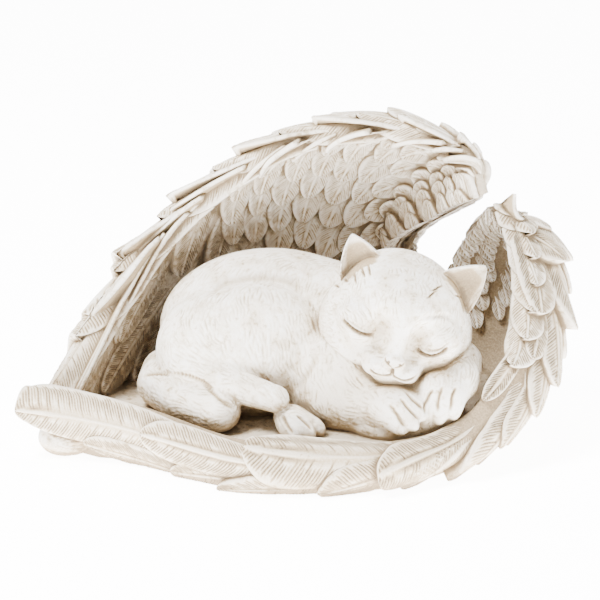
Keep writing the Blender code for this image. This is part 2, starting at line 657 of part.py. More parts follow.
def build():
    for old in list(bpy.data.objects):
        bpy.data.objects.remove(old)
    head = head_matrix()
    bm = bmesh.new()
    bm.from_mesh(model_kitten(head))
    for ear in EARS:
        add_ear(bm, ear, head)
    add_base(bm)
    for wing in (FAR_WING, NEAR_WING):
        add_sheet(bm, wing)
    add_feathers(bm, FAR_WING, -1, far_inner_feathers())
    add_feathers(bm, FAR_WING, 1, far_outer_feathers())
    add_feathers(bm, NEAR_WING, 1, near_outer_feathers())
    add_feathers(bm, NEAR_WING, -1, near_inner_feathers())
    for form in (WING_JOINT, FAR_TIP):
        add_round(bm, form)
    mesh = remeshed(object_from(bm, "rough_casting"), CAST_VOXEL / UNIT)

    bm = bmesh.new()
    bm.from_mesh(mesh)
    keep_outer_skin(bm)
    bmesh.ops.scale(bm, vec=(UNIT, UNIT, UNIT), verts=bm.verts)
    statue = object_from(bm, "statue")
    thin = statue.modifiers.new("thin", "DECIMATE")
    thin.ratio = CAST_TRIANGLES / (2 * len(statue.data.polygons))
    graph = bpy.context.evaluated_depsgraph_get()
    mesh = bpy.data.meshes.new_from_object(statue.evaluated_get(graph))
    bpy.data.objects.remove(statue)
    bm = bmesh.new()
    bm.from_mesh(mesh)
    cut_flat(bm)
    statue = object_from(bm, "statue")
    statue.data.materials.append(stone_material())
    statue.data.shade_smooth()
    part = bpy.data.collections.new("pet_memorial_statue")
    bpy.context.scene.collection.children.link(part)
    part.objects.link(statue)
    bpy.context.scene.collection.objects.unlink(statue)


build()
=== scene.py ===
# %% [markdown]
# # A pet memorial statue, dressed for its portrait
# The statue is one casting in stone-filled resin: a kitten asleep in a nest of two feathered wings.
# The imported model already has its size, pose and outline. Here each form is modelled again at the
# fineness of the sculptor's tools, with feather barbs, eyelids, toes and strokes of fur, and then
# given the ivory finish with a brown wash left in its hollows, and with shade painted into them.

# %% Load the imported model
import math

import bmesh
import bpy
import numpy as np
from mathutils import Euler, Matrix, Vector
from mathutils.kdtree import KDTree
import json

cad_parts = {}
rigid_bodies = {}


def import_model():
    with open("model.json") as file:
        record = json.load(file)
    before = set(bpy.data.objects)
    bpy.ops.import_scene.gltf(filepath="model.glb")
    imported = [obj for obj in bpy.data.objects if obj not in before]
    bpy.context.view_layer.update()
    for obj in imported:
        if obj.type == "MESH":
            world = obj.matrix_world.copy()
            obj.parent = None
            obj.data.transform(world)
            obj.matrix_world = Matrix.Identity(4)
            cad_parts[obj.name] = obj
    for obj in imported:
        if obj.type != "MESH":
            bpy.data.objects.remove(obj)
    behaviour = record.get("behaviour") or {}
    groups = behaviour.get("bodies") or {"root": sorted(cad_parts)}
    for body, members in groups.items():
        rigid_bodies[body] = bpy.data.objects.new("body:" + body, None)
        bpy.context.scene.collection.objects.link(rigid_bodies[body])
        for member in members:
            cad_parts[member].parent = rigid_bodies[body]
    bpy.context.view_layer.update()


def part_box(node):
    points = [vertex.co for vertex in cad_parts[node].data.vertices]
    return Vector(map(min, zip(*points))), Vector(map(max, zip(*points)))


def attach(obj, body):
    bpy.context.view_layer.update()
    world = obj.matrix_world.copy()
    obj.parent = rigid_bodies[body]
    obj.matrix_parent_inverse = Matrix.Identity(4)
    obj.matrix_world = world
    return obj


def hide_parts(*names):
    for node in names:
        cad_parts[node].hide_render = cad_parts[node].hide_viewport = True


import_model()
LOW, HIGH = (np.array(corner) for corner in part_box("statue"))
print("packed statue, mm:", np.round((HIGH - LOW) * 1000, 1))

# %% [markdown]
# A sculptor draws in the millimetres of the clay model. The casting is a little smaller than the
# clay, so one number turns every drawn size into metres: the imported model's length, of which the
# drawing has 266.4. The floor of the nest and the walls of the wings keep their own true sizes.

# %% The sculptor's millimetres
UNIT = (HIGH[0] - LOW[0]) / 266.4
BASE_THICKNESS = 0.018
WING_WALL = 0.0085
FEATHER_STEP = 0.0032
EAR_WALL = 0.0030
FLOOR = BASE_THICKNESS / UNIT
WALL = WING_WALL / UNIT
STEP = FEATHER_STEP / UNIT
EAR = EAR_WALL / UNIT
ROOT_DEPTH = 1.5
print("metres in a drawn millimetre:", round(UNIT, 7))

# %% [markdown]
# ## The wings' two walls
# Under its feathers each wing is a curved wall. It could be pulled from a subdivided plane by hand,
# but a wall through a few rails is easier to steer. Each rail is a smooth curve through nine points,
# from the wing's shoulder to its tips. The first rail runs along the ground and the fifth along the
# free edge. A place on the wall is then two shares: u along the rails and v up across them.

# %% Rails of the tall wing and the low wing
TALL_RAILS = (
    ((60, 70, -3), (50, 75, -3), (25, 79, -3), (0, 79, -3), (-28, 72, -3), (-54, 55, -3),
     (-79, 29, -3), (-101, -3, -3), (-119, -28, -2)),
    ((55, 74, 42), (48, 79, 46), (24, 84, 48), (-2, 84, 46), (-31, 76, 41), (-60, 58, 33),
     (-85, 30, 24), (-105, -3, 14), (-121, -28, 3)),
    ((52, 65, 76), (50, 70, 94), (31, 75, 100), (1, 76, 96), (-31, 70, 83), (-61, 54, 65),
     (-87, 28, 46), (-107, -3, 26), (-122, -28, 5)),
    ((74, 36, 102), (75, 35, 128), (48, 43, 140), (10, 46, 135), (-26, 46, 118), (-57, 40, 94),
     (-83, 24, 69), (-104, -2, 40), (-122, -28, 7)),
    ((88, 10, 117), (83, 16, 134), (48, 25, 144), (8, 28, 140), (-28, 31, 122), (-58, 30, 97),
     (-82, 18, 70), (-102, -6, 41), (-121, -28, 9)),
)
LOW_RAILS = (
    ((76, 64, -3), (96, 36, -3), (97, 8, -3), (85, -15, -3), (61, -52, -3), (28, -72, -3),
     (-22, -70, -3), (-72, -40, 4), (-120, -30, 18)),
    ((77, 62, 32), (110, 40, 30), (116, 6, 24), (98, -26, 14), (67, -57, 7), (29, -75, 5),
     (-22, -73, 5), (-73, -44, 11), (-122, -30, 21)),
    ((79, 54, 66), (119, 36, 66), (123, 2, 48), (110, -33, 28), (73, -62, 13), (30, -78, 11),
     (-22, -75, 11), (-74, -45, 18), (-124, -30, 25)),
    ((86, 40, 89), (117, 24, 92), (121, -6, 69), (109, -37, 40), (74, -60, 19), (30, -76, 17),
     (-22, -73, 17), (-75, -44, 24), (-125, -30, 29)),
    ((97, 16, 109), (105, 2, 97), (107, -18, 73), (98, -38, 48), (72, -57, 25), (30, -72, 20),
     (-22, -69, 21), (-75, -41, 29), (-125, -28, 32)),
)


def catmull(knots, t):
    """Points of a Catmull-Rom curve through knots at t from 0 to 1, straight beyond its ends."""
    last = len(knots) - 1
    inside = np.clip(t, 0, 1) * last
    i = np.minimum(inside.astype(int), last - 1)
    f = (inside - i)[..., None]
    if knots.ndim == 3:
        pick = (lambda k: knots[k, np.arange(knots.shape[1])])
    else:
        pick = (lambda k: knots[k])
    b, c = pick(i), pick(i + 1)
    a = np.where((i > 0)[..., None], pick(np.maximum(i - 1, 0)), 2 * b - c)
    d = np.where((i < last - 1)[..., None], pick(np.minimum(i + 2, last)), 2 * c - b)
    tangent_b, tangent_c = (c - a) / 2, (d - b) / 2
    point = (
        b * (2 * f**3 - 3 * f**2 + 1) + tangent_b * (f**3 - 2 * f**2 + f)
        + c * (3 * f**2 - 2 * f**3) + tangent_c * (f**3 - f**2)
    )
    beyond = ((t - np.clip(t, 0, 1)) * last)[..., None]
    return point + beyond * np.where(t[..., None] > 0.5, tangent_c, tangent_b)


# %% The wall as a surface that anything can be laid on
class Wing:
    """A curved wall through rails: u runs from the shoulder to the tips, v up the wall."""

    def __init__(self, rails, outward):
        self.rails = np.array(rails, float)
        self.outward = outward

    def middle(self, u, v):
        """Points halfway through the wall, one for each pair of u and v."""
        shape = np.shape(u)
        u, v = np.ravel(u), np.ravel(v)
        across = np.array([catmull(rail, u) for rail in self.rails])
        return catmull(across, v).reshape(*shape, 3)

    def slopes(self, u, v):
        """How a point moves for a small change of u, and of v."""
        e = 1e-3
        along = (self.middle(u + e, v) - self.middle(u - e, v)) / (2 * e)
        up = (self.middle(u, v + e) - self.middle(u, v - e)) / (2 * e)
        return along, up

    def normal(self, u, v):
        """The unit direction that points out of the nest."""
        along, up = self.slopes(u, v)
        n = np.cross(along, up) * self.outward
        return n / np.maximum(np.linalg.norm(n, axis=-1, keepdims=True), 1e-9)

    def wall(self, u, v):
        """Thickness of the wall: stout at the shoulder, thin at the free edge."""
        u, v = np.clip(u, 0, 1), np.clip(v, 0, 1)
        return WALL * (1 + 0.55 * np.exp(-u / 0.07)) * (1.1 - 0.45 * v**2) * (1 - 0.25 * u)

    def face(self, u, v, side, height):
        """Points at a height above the outer face (side 1) or the inner face (side -1)."""
        reach = side * (self.wall(u, v) / 2 + height)
        return self.middle(u, v) + self.normal(u, v) * reach[..., None]


TALL_WING = Wing(TALL_RAILS, 1)
LOW_WING = Wing(LOW_RAILS, -1)
print("top of the tall wing, drawn mm:", np.round(TALL_WING.rails[:, :, 2].max(), 1))

# %% [markdown]
# Blender's operators make each shape's faces, and numpy then moves all its points at once, which is
# much faster than a loop in Python. These helpers carry points between the two, and keep a second
# number on each point: how much brown wash stays in a carved line there, and how much painted shade
# darkens a hollow, an underside or a bare wall.

# %% Helpers between bmesh and numpy
def mesh_from(bm, name):
    """Turns a bmesh into a mesh and frees it."""
    mesh = bpy.data.meshes.new(name)
    bm.to_mesh(mesh)
    bm.free()
    return mesh


def placed(name, data):
    """A new object in the scene."""
    obj = bpy.data.objects.new(name, data)
    bpy.context.scene.collection.objects.link(obj)
    return obj


def points_of(mesh):
    co = np.empty(len(mesh.vertices) * 3, np.float32)
    mesh.vertices.foreach_get("co", co)
    return co.reshape(-1, 3).astype(float)


def set_points(mesh, co):
    mesh.vertices.foreach_set("co", np.asarray(co, np.float32).ravel())
    mesh.update()


def set_share(mesh, name, values):
    """Keeps one number for each point of a mesh, for its material to read."""
    layer = mesh.attributes.get(name) or mesh.attributes.new(name, "FLOAT", "POINT")
    layer.data.foreach_set("value", np.asarray(values, np.float32))


def add_copy(bm, template, co, wash_and_shade):
    """Adds the template's faces to bm, with its points at co."""
    shape = template.copy()
    set_points(shape, co)
    set_share(shape, "wash_and_shade", wash_and_shade)
    bm.from_mesh(shape)
    bpy.data.meshes.remove(shape)


def slab_template(rows, columns):
    """A closed flat slab, with each point's place along, across, and whether it is on top."""
    bm = bmesh.new()
    bmesh.ops.create_grid(bm, x_segments=rows, y_segments=columns, size=1)
    made = bmesh.ops.extrude_face_region(bm, geom=bm.faces[:])
    top = [v for v in made["geom"] if isinstance(v, bmesh.types.BMVert)]
    bmesh.ops.translate(bm, verts=top, vec=(0, 0, 1))
    bmesh.ops.recalc_face_normals(bm, faces=bm.faces)
    mesh = mesh_from(bm, "slab_template")
    co = points_of(mesh)
    return mesh, (co[:, 0] + 1) / 2, co[:, 1], co[:, 2] > 0.5


# The wall stops short of the wing's tips, which are feathers alone
WALL_END = 0.97


def add_wall(bm, wing, stain):
    """The wing's own wall, under its feathers. Stain is painted shade that darkens the wall where it
    shows between feathers.
    """
    template, along, across, top = slab_template(60, 22)
    along = along * WALL_END
    v = (across + 1) / 2
    side = np.where(top, 1.0, -1.0)
    add_copy(bm, template, wing.face(along, v, side, np.zeros(len(v))), np.full(len(v), stain))
    bpy.data.meshes.remove(template)


# %% [markdown]
# ## One feather
# A feather is a long closed blade. Its outline could be drawn and extruded, but then every barb would
# be a cut of its own. Instead a tube of quads is laid out so that its rows already run the way the
# barbs do: they leave the quill at a slant and bend towards the tip. Every second row is pressed
# down a little, as the sculptor's knife would, and the quill stands up between two fine lines.

# %% The blade's mesh, from a subdivided cylinder
# Shares of the way from the quill to the edge, closer together where the relief is finer
FINE_COLUMNS = (0, 0.07, 0.15, 0.32, 0.5, 0.67, 0.81, 0.91, 0.965, 1)
TILE_COLUMNS = (0, 0.1, 0.24, 0.45, 0.66, 0.82, 0.93, 1)
PLAIN_COLUMNS = (0, 0.1, 0.3, 0.6, 0.85, 0.96, 1)
# The same for the four points that close the tube below: two at the waist and two underneath
UNDERSIDE = (1.03, 0.93, -0.93, -1.03)
templates = {}


def blade_template(rows, columns):
    """A closed tube, with each point's row and its number round the tube."""
    if (rows, columns) not in templates:
        count = 2 * columns - 1 + len(UNDERSIDE)
        bm = bmesh.new()
        bmesh.ops.create_cone(bm, cap_ends=True, segments=count, radius1=1, radius2=1, depth=1)
        long_edges = [e for e in bm.edges if abs(e.verts[0].co.z - e.verts[1].co.z) > 0.5]
        bmesh.ops.subdivide_edges(bm, edges=long_edges, cuts=rows - 1)
        mesh = mesh_from(bm, "blade_template")
        co = points_of(mesh)
        turn = np.arctan2(co[:, 0], co[:, 1]) / (2 * math.pi)
        number = np.round((turn % 1) * count).astype(int) % count
        row = np.round((co[:, 2] + 0.5) * rows).astype(int)
        templates[rows, columns] = mesh, row, number
    return templates[rows, columns]


def feather_width(s, blunt):
    """Half width of a feather as a share of its widest, from root 0 to tip 1."""
    root = 0.75 + 0.25 * np.clip(s / 0.5, 0, 1)
    tip = np.clip((s - blunt) / (1 - blunt), 0, 1)
    return root * np.maximum(1 - tip**2.2, 0.0) ** 0.55 + 0.04


def barb_ends(x0, length, width, blunt, slant):
    """How far along the blade each barb that leaves the quill at x0 meets the edge."""
    near, far = x0.copy(), x0 + slant * width
    for _ in range(24):
        guess = (near + far) / 2
        beyond = guess - x0 > slant * width / 2 * feather_width(guess / length, blunt)
        far = np.where(beyond, guess, far)
        near = np.where(beyond, near, guess)
    return np.minimum((near + far) / 2, length)


# %% Where a blade's points go on a wing
def steps_of(su, sv, way):
    """The change of u and v that moves a point one millimetre along way."""
    a, b, c = (su * su).sum(-1), (su * sv).sum(-1), (sv * sv).sum(-1)
    p, q = (su * way).sum(-1), (sv * way).sum(-1)
    det = a * c - b * b
    return np.stack([(p * c - q * b) / det, (q * a - p * b) / det], axis=-1)


def slopes_near(wing, uv):
    """The wing's slopes at uv, or at the nearest place on the wall."""
    return wing.slopes(np.clip(uv[..., 0], 0.004, 0.99), np.clip(uv[..., 1], 0.0, 1.0))


def root_of(wing, tip, length, hang):
    """Walks back from a feather's tip to its root. The feather runs along u and hangs down by
    the given share."""
    uv = np.array(tip, float)
    for _ in range(4):
        su, sv = slopes_near(wing, uv)
        way = su / np.linalg.norm(su)
        up = np.cross(np.cross(su, sv), way)
        up *= math.copysign(1, up[2]) / np.linalg.norm(up)
        way = way - up * hang * abs(up[2])
        uv -= steps_of(su, sv, way / np.linalg.norm(way)) * length / 4
    return uv


# %% [markdown]
# The relief of one blade adds up from simple parts: it rises from root to tip like a roof tile, is
# crowned across, has a rolled rim, a quill, and barbs. A carved barb never runs the whole way, so
# each one starts and stops at its own place. The long feathers' grooves are about 1.5 mm apart, as
# they are on the casting, and at most 0.6 mm deep. Those on short feathers are shallower.

# %% The outline of one blade
def blade_outline(width, length, blunt, gap, chance):
    """Where each barb leaves the quill, where it meets the edge, and half the width there."""
    slant = chance.uniform(0.85, 1.2)
    first, last = -0.35 * width, length - slant * 0.04 * width / 2
    rows = max(6, 2 * round((last - first) / gap))
    x0 = np.linspace(first, last, rows + 1)
    x0[1:-1] += chance.uniform(-0.12, 0.12, rows - 1) * gap
    x_end = barb_ends(x0, length, width, blunt, slant)
    return x0, x_end, width / 2 * feather_width(np.minimum(x_end / length, 1), blunt)


def blade_places(x0, x_end, half, columns):
    """The blade's mesh and, for each point, its row, its place along and across, the share of the
    way from quill to edge, and whether it lies underneath."""
    template, row, number = blade_template(len(x0) - 1, len(columns))
    share = np.array([-f for f in columns[:0:-1]] + list(columns) + list(UNDERSIDE))[number]
    out = np.abs(share)
    x = x0[row] + (x_end - x0)[row] * np.minimum(out, 1) ** 1.25
    return template, row, x, half[row] * share, out, number >= 2 * len(columns) - 1


# %% Barbs and quill
BARB_GAP = 1.5
BARB_DEPTH = 0.62
QUILL_HEIGHT = 0.42
QUILL_LINE = 0.30


def barb_relief(row, out, chance):
    """Height of the barbs at each point, down to -1 in the deepest groove."""
    count = row.max() + 1
    depth = chance.uniform(0.45, 1.0, count)[row]
    start = chance.uniform(0.06, 0.40, count)[row]
    stop = chance.uniform(0.80, 0.98, count)[row]
    ridge = chance.uniform(0.05, 0.45, count)[row]
    window = np.clip((out - start) / 0.15, 0, 1) * np.clip((stop - out) / 0.12, 0, 1)
    return np.where(row % 2 == 1, -depth, ridge) * window


def quill_relief(y, to_tip):
    """The quill between its two fine lines. It fades out near the tip."""
    bead = np.exp(-((y / 0.42) ** 2)) * QUILL_HEIGHT
    lines = np.exp(-(((np.abs(y) - 1.05) / 0.4) ** 2)) * QUILL_LINE
    return (bead - lines) * np.clip(to_tip / 5, 0, 1)


# %% Lay one feather
RIM_HEIGHT = 0.30
EDGE_ROUND = 0.45
THINNEST = 2.2
FOLDED_THICKNESS = 1.2
# How far the folded part still leans out, per millimetre that it comes down
FOLD_LEAN = 0.25
EDGE_WASH = 0.12
# A blade's underside, where it overhangs, gets brown wash and painted shade
UNDERSIDE_WASH_AND_SHADE = 0.6


def add_feather(bm, wing, side, feather, chance, columns=FINE_COLUMNS, gap=BARB_GAP, cup=0.0,
                carving=1.0, tone=0.0, fold=None, reach=2.0):
    """Lays a feather on one face of a wing. A feather is the (u, v) of its tip and root, its width,
    its lift at the tip and how far along it the tip begins to round. With a fold, the part that
    goes so many millimetres beyond the wall's free edge bends down over it. Reach is the highest v
    that any point may have."""
    tip, root, width, lift, blunt = feather
    tip, root = np.array(tip, float), np.array(root, float)
    ends = wing.middle(np.array([root[0], tip[0]]), np.array([root[1], tip[1]]))
    length = np.linalg.norm(ends[1] - ends[0])
    x0, x_end, half = blade_outline(width, length, blunt, gap, chance)
    template, row, x, y, out, under = blade_places(x0, x_end, half, columns)

    middle = root + (tip - root) * (x / length)[:, None]
    su, sv = slopes_near(wing, middle)
    way = su * (tip - root)[0] + sv * (tip - root)[1]
    left = np.cross(np.cross(su, sv), way)
    left /= np.linalg.norm(left, axis=1, keepdims=True)
    uv = middle + steps_of(su, sv, left) * y[:, None]
    uv[:, 0] = np.maximum(uv[:, 0], -0.008)
    uv[:, 1] = np.minimum(uv[:, 1], reach)

    # The upper face, part by part
    bulk = (width / 16) ** 0.6
    t, s = y / (width / 2), np.clip(x / length, -0.4, 1)
    lifted = lift * np.maximum(s, 0) ** 3
    rise = STEP * bulk * (-0.45 + 1.45 * s + lifted)
    crown = (0.06 - 0.05 * cup) * width * (1 - t**2) * (1 - 0.3 * s)
    edge = np.minimum(half[row] * (1 - np.minimum(out, 1)), 0.7 * (length - x))
    rim = RIM_HEIGHT * (0.5 + cup) * bulk * np.exp(-(((edge - 1.0) / 0.7) ** 2))
    rolled = EDGE_ROUND * np.exp(-((edge / 0.35) ** 2))
    lean = chance.uniform(-0.35, 0.35) * bulk * t
    barb = barb_relief(row, out, chance) * carving
    quill = quill_relief(y, length - x)
    top = rise + crown + rim - rolled + lean + barb * BARB_DEPTH + quill

    # The underside sinks into the wall, but past the free edge the blade is thin
    low = np.minimum(-ROOT_DEPTH, rise - 3.4 * bulk) + 0.75 * np.maximum(lifted * STEP - 1, 0)
    low = np.minimum(low, top - THINNEST)
    up_mm = np.linalg.norm(sv, axis=1)
    beyond = (uv[:, 1] - 1) * up_mm
    low += (np.maximum(low, top - THINNEST) - low) * np.clip(beyond / 1.5, 0, 1)
    height = np.where(~under, top, np.where(out > 1, top - 0.9 * bulk, low))
    if fold is not None:
        over = np.maximum(beyond - fold, 0)
        height = np.where(under & (over > 0), top, height) - over
        out_mm = fold + FOLD_LEAN * over - np.where(under, FOLDED_THICKNESS, 0)
        uv[:, 1] = np.where(over > 0, 1 + out_mm / up_mm, uv[:, 1])
    co = wing.face(uv[:, 0], uv[:, 1], np.full(len(y), side), height)

    stain = np.clip(-barb * 1.1, 0, 1) + 0.6 * np.clip(-quill / QUILL_LINE, 0, 1)
    stain = np.clip(np.clip(stain, 0, 1) + tone + chance.uniform(0, 0.12), 0, 1)
    # Carved lines hold wash, and the underside is darkened with wash and painted shade
    add_copy(bm, template, co, np.where(under, np.where(out > 1, EDGE_WASH, UNDERSIDE_WASH_AND_SHADE), stain))


# %% [markdown]
# ## Rows of feathers
# Small feathers cover a wing's shoulder in rows, each row overlapping the next towards the tips.
# Placing them one by one would take hours, so a loop fills each row and shifts every second one by
# half a feather, with a little chance in size and place. The long feathers that give the wings their
# outline are listed one by one.

# %% Rows of short feathers
def tiles(wing, rows, seed, raised=0.0):
    """Rows of short feathers. Each row is u of its tips, length, width, hang, v from and v to."""
    chance = np.random.default_rng(seed)
    feathers = []
    for k, (u, length, width, hang, low, high) in enumerate(rows):
        line = wing.middle(np.full(40, u), np.linspace(low, high, 40))
        height = np.linalg.norm(np.diff(line, axis=0), axis=1).sum()
        count = max(1, round(height / (width * 0.95)))
        for j in range(count + k % 2):
            v = low + (high - low) * (j + 0.5 - 0.5 * (k % 2)) / count
            shake = chance.uniform(-1, 1, 4)
            tip = (u + 0.006 * shake[0], v + 0.1 / count * shake[1])
            root = root_of(wing, tip, length * (1 + 0.1 * shake[2]), hang)
            width_here = width * (1.08 + 0.1 * shake[3])
            lift = raised * min(u / 0.2, 1) + 0.4 * chance.random()
            feathers.append((tip, root, width_here, lift, 0.35))
    return feathers


# %% The tall wing's inner face: small feathers, then long ones
def tall_inner_tiles():
    rows = []
    u = 0.03
    for k in range(11):
        grow = k / 10
        length = 16 + 17 * grow
        width = 12.5 + 3.5 * min(grow * 1.5, 1)
        hang = 1.9 * min(max((u - 0.1) / 0.25, 0), 1)
        rows.append((u, length, width, hang, 0.04, 0.96))
        u += 0.042 + 0.012 * min(grow * 1.6, 1)
    return tiles(TALL_WING, rows, 11, 0.5)


TALL_INNER_LONG = (
    ((0.64, 0.54), (0.555, 0.86), 20, 0.5, 0.55), ((0.56, 0.42), (0.50, 0.66), 17, 0.4, 0.5),
    ((0.63, 0.28), (0.55, 0.48), 18, 0.2, 0.55), ((0.72, 0.70), (0.58, 0.93), 17, 0.3, 0.6),
    ((0.76, 0.14), (0.63, 0.38), 17, 0.2, 0.6), ((0.84, 0.26), (0.60, 0.50), 17, 0.2, 0.65),
    ((0.90, 0.55), (0.62, 0.80), 19, 0.3, 0.7), ((0.99, 0.72), (0.66, 0.92), 20, 0.4, 0.75),
    ((0.99, 0.20), (0.78, 0.42), 15, 0.2, 0.75), ((0.80, 0.84), (0.60, 0.97), 17, 0.4, 0.65),
    ((0.96, 0.90), (0.72, 0.98), 15, 0.4, 0.7), ((0.78, 0.50), (0.60, 0.72), 18, 0.2, 0.6),
    ((0.92, 0.36), (0.70, 0.60), 17, 0.2, 0.7),
)


# %% The tall wing's outer face, and the crest that breaks the outline
def tall_outer_tiles():
    rows = []
    u = 0.06
    for k in range(11):
        grow = min(k / 5, 1)
        rows.append((u, 30 + 18 * grow, 18 + 5 * grow, 0.3, 0.04, 0.84))
        u += 0.062 + 0.035 * grow
    return tiles(TALL_WING, rows, 12)


TALL_CREST = (
    ((0.09, 0.97), (0.03, 0.90), 13, 0.4, 0.45), ((0.16, 0.95), (0.08, 0.87), 15, 0.5, 0.5),
    ((0.25, 0.97), (0.14, 0.88), 16, 0.6, 0.5), ((0.37, 0.98), (0.22, 0.88), 18, 1.0, 0.5),
    ((0.49, 0.97), (0.30, 0.86), 18, 1.6, 0.55), ((0.61, 0.95), (0.42, 0.86), 18, 1.9, 0.55),
    ((0.73, 0.92), (0.54, 0.84), 18, 2.0, 0.55),
)
TALL_OUTER_LONG = (
    ((0.70, 0.60), (0.48, 0.68), 19, 0.5, 0.6), ((0.72, 0.32), (0.50, 0.42), 19, 0.4, 0.6),
    ((0.72, 0.08), (0.50, 0.14), 18, 0.3, 0.6), ((0.86, 0.74), (0.60, 0.78), 17, 0.6, 0.65),
    ((0.88, 0.44), (0.62, 0.50), 17, 0.4, 0.65), ((0.88, 0.14), (0.62, 0.20), 17, 0.3, 0.65),
    ((0.95, 0.62), (0.66, 0.70), 17, 0.4, 0.75), ((0.95, 0.25), (0.68, 0.32), 15, 0.3, 0.75),
)

# %% The low wing's outer face: rows at the shoulder, then blades along the front rim
LOW_OUTER_ROWS = (
    (0.05, 17, 12, 1.0, 0.02, 0.98), (0.09, 20, 13, 1.0, 0.02, 0.98),
    (0.135, 24, 15, 0.9, 0.02, 0.96), (0.185, 30, 17, 0.8, 0.02, 0.70),
    (0.24, 34, 17, 0.7, 0.02, 0.62),
)
LOW_OUTER_LONG = (
    ((0.20, 0.80), (0.10, 0.99), 19, 1.0, 0.5), ((0.17, 0.66), (0.08, 0.84), 18, 0.9, 0.5),
    ((0.285, 0.92), (0.13, 1.0), 20, 0.6, 0.55), ((0.28, 0.66), (0.16, 0.84), 19, 1.3, 0.5),
    ((0.36, 0.64), (0.25, 0.80), 17, 0.8, 0.55), ((0.40, 0.58), (0.31, 0.82), 15, 0.6, 0.55),
    ((0.355, 0.86), (0.23, 0.95), 12, 0.4, 0.6), ((0.445, 0.48), (0.36, 0.74), 13, 0.5, 0.6),
    ((0.38, 0.20), (0.26, 0.36), 17, 0.4, 0.6), ((0.44, 0.16), (0.33, 0.44), 15, 0.4, 0.6),
    ((0.505, 0.26), (0.37, 0.86), 15, 1.2, 0.65), ((0.445, 1.0), (0.32, 0.96), 9, 0.5, 0.65),
    ((0.575, 0.25), (0.48, 0.66), 13, 0.5, 0.6), ((0.61, 0.52), (0.47, 0.82), 15, 1.0, 0.6),
    ((0.675, 0.29), (0.56, 0.50), 14, 0.6, 0.6), ((0.75, 0.78), (0.56, 0.66), 19, 0.9, 0.6),
    ((0.775, 0.18), (0.63, 0.38), 15, 0.7, 0.6), ((0.83, 0.15), (0.74, 0.32), 12, 0.3, 0.6),
    ((0.86, 0.60), (0.70, 0.62), 15, 0.8, 0.6), ((1.012, 0.60), (0.74, 0.52), 19, 0.8, 0.86),
    ((0.94, 0.14), (0.70, 0.06), 14, 0.3, 0.7),
)

# %% The low wing's inner face: thin ragged rows that hang down, then longer ones
LOW_INNER_ROWS = (
    (0.02, 13, 8, 2.5, 0.3, 1.03), (0.055, 14, 8, 2.5, 0.3, 1.03), (0.09, 15, 8, 2.5, 0.3, 1.03),
    (0.125, 18, 9, 2.5, 0.3, 1.03), (0.165, 22, 11, 2.2, 0.3, 1.02),
    (0.21, 28, 12, 2.0, 0.2, 1.02), (0.26, 30, 13, 1.5, 0.2, 1.02),
    (0.32, 34, 13, 0.8, 0.2, 1.02), (0.39, 36, 13, 0.4, 0.2, 1.02),
)
LOW_INNER_LONG = (
    ((0.47, 0.84), (0.33, 0.95), 14, 0.3, 0.5), ((0.47, 0.52), (0.33, 0.66), 14, 0.3, 0.5),
    ((0.55, 0.78), (0.41, 0.90), 13, 0.3, 0.5), ((0.55, 0.42), (0.41, 0.55), 14, 0.3, 0.5),
    ((0.64, 0.76), (0.50, 0.88), 12, 0.3, 0.55),
)

# %% The rims: feathers that fold over the free edge, so that no bare wall shows there
TALL_RIM = (
    ((0.97, 0.96), (0.76, 0.99), 21, 0.3, 0.75), ((0.86, 0.97), (0.66, 1.0), 22, 0.5, 0.65),
    ((0.75, 0.98), (0.56, 1.0), 22, 0.6, 0.6), ((0.64, 0.99), (0.47, 1.0), 21, 0.6, 0.55),
    ((0.53, 0.99), (0.37, 1.0), 20, 0.6, 0.5), ((0.42, 0.99), (0.27, 1.0), 19, 0.6, 0.5),
    ((0.31, 0.99), (0.17, 1.0), 18, 0.5, 0.5),
)
LOW_RIM = tuple(((u, 0.99), (u - 0.09, 0.99), 19, 0.5, 0.5) for u in np.arange(0.08, 0.42, 0.05))

# %% [markdown]
# ## Dress the wings
# Each wing becomes pieces of its own, so that none grows past the size a library can hold. They all
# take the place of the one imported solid.

# %% From bmesh to a finished piece
def finish_piece(bm, name):
    """Turns drawn millimetres into metres, keeps the piece inside the casting and names it."""
    bmesh.ops.triangulate(bm, faces=[f for f in bm.faces if len(f.verts) > 4])
    mesh = mesh_from(bm, name)
    co = np.clip(points_of(mesh) * UNIT, LOW + 1e-5, HIGH - 1e-5)
    set_points(mesh, co)
    mesh.shade_smooth()
    piece = placed(name, mesh)
    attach(piece, "root")
    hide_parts("statue")
    mesh.calc_loop_triangles()
    print(name, "triangles:", len(mesh.loop_triangles))
    return piece


def lay(bm, wing, side, feathers, seed, **how):
    chance = np.random.default_rng(seed)
    for feather in feathers:
        add_feather(bm, wing, side, feather, chance, **how)


# %% The tall wing
# Where the two wings grow together at the back, and the tall wing's rounded last tip
WING_JOINT = ((68, 66, 12), (16, 9, 26), (0, 0, -35))
FAR_TIP = ((-108, -25, 8), (15, 12, 10), (0, 0, 25))


def turned(centre, turn):
    """The place and turn of a form as one matrix."""
    return Matrix.Translation(centre) @ Euler([math.radians(a) for a in turn]).to_matrix().to_4x4()


STROKE_GAP = 2.1
STROKE_DEPTH = 0.7


def add_knob(bm, form):
    """A rounded end with carved strokes that run back from its tip."""
    centre, radii, turn = form
    ball = bmesh.new()
    bmesh.ops.create_icosphere(ball, subdivisions=5, radius=1)
    mesh = mesh_from(ball, "knob")
    co = points_of(mesh)
    across = co[:, 1] * radii[1] + 0.9 * np.abs(co[:, 2]) * radii[2] - 0.5 * co[:, 0]
    wave = np.cos(across * 2 * math.pi / STROKE_GAP)
    groove = np.clip(wave, 0, 1) ** 2 * np.clip(1.2 - np.abs(co[:, 0]), 0, 1)
    size = np.array(radii, float)
    co = co * size * (1 - (STROKE_DEPTH / size.mean()) * groove)[:, None]
    m = np.array(turned(centre, turn))
    add_copy(bm, mesh, co @ m[:3, :3].T + m[:3, 3], 0.8 * groove)
    bpy.data.meshes.remove(mesh)


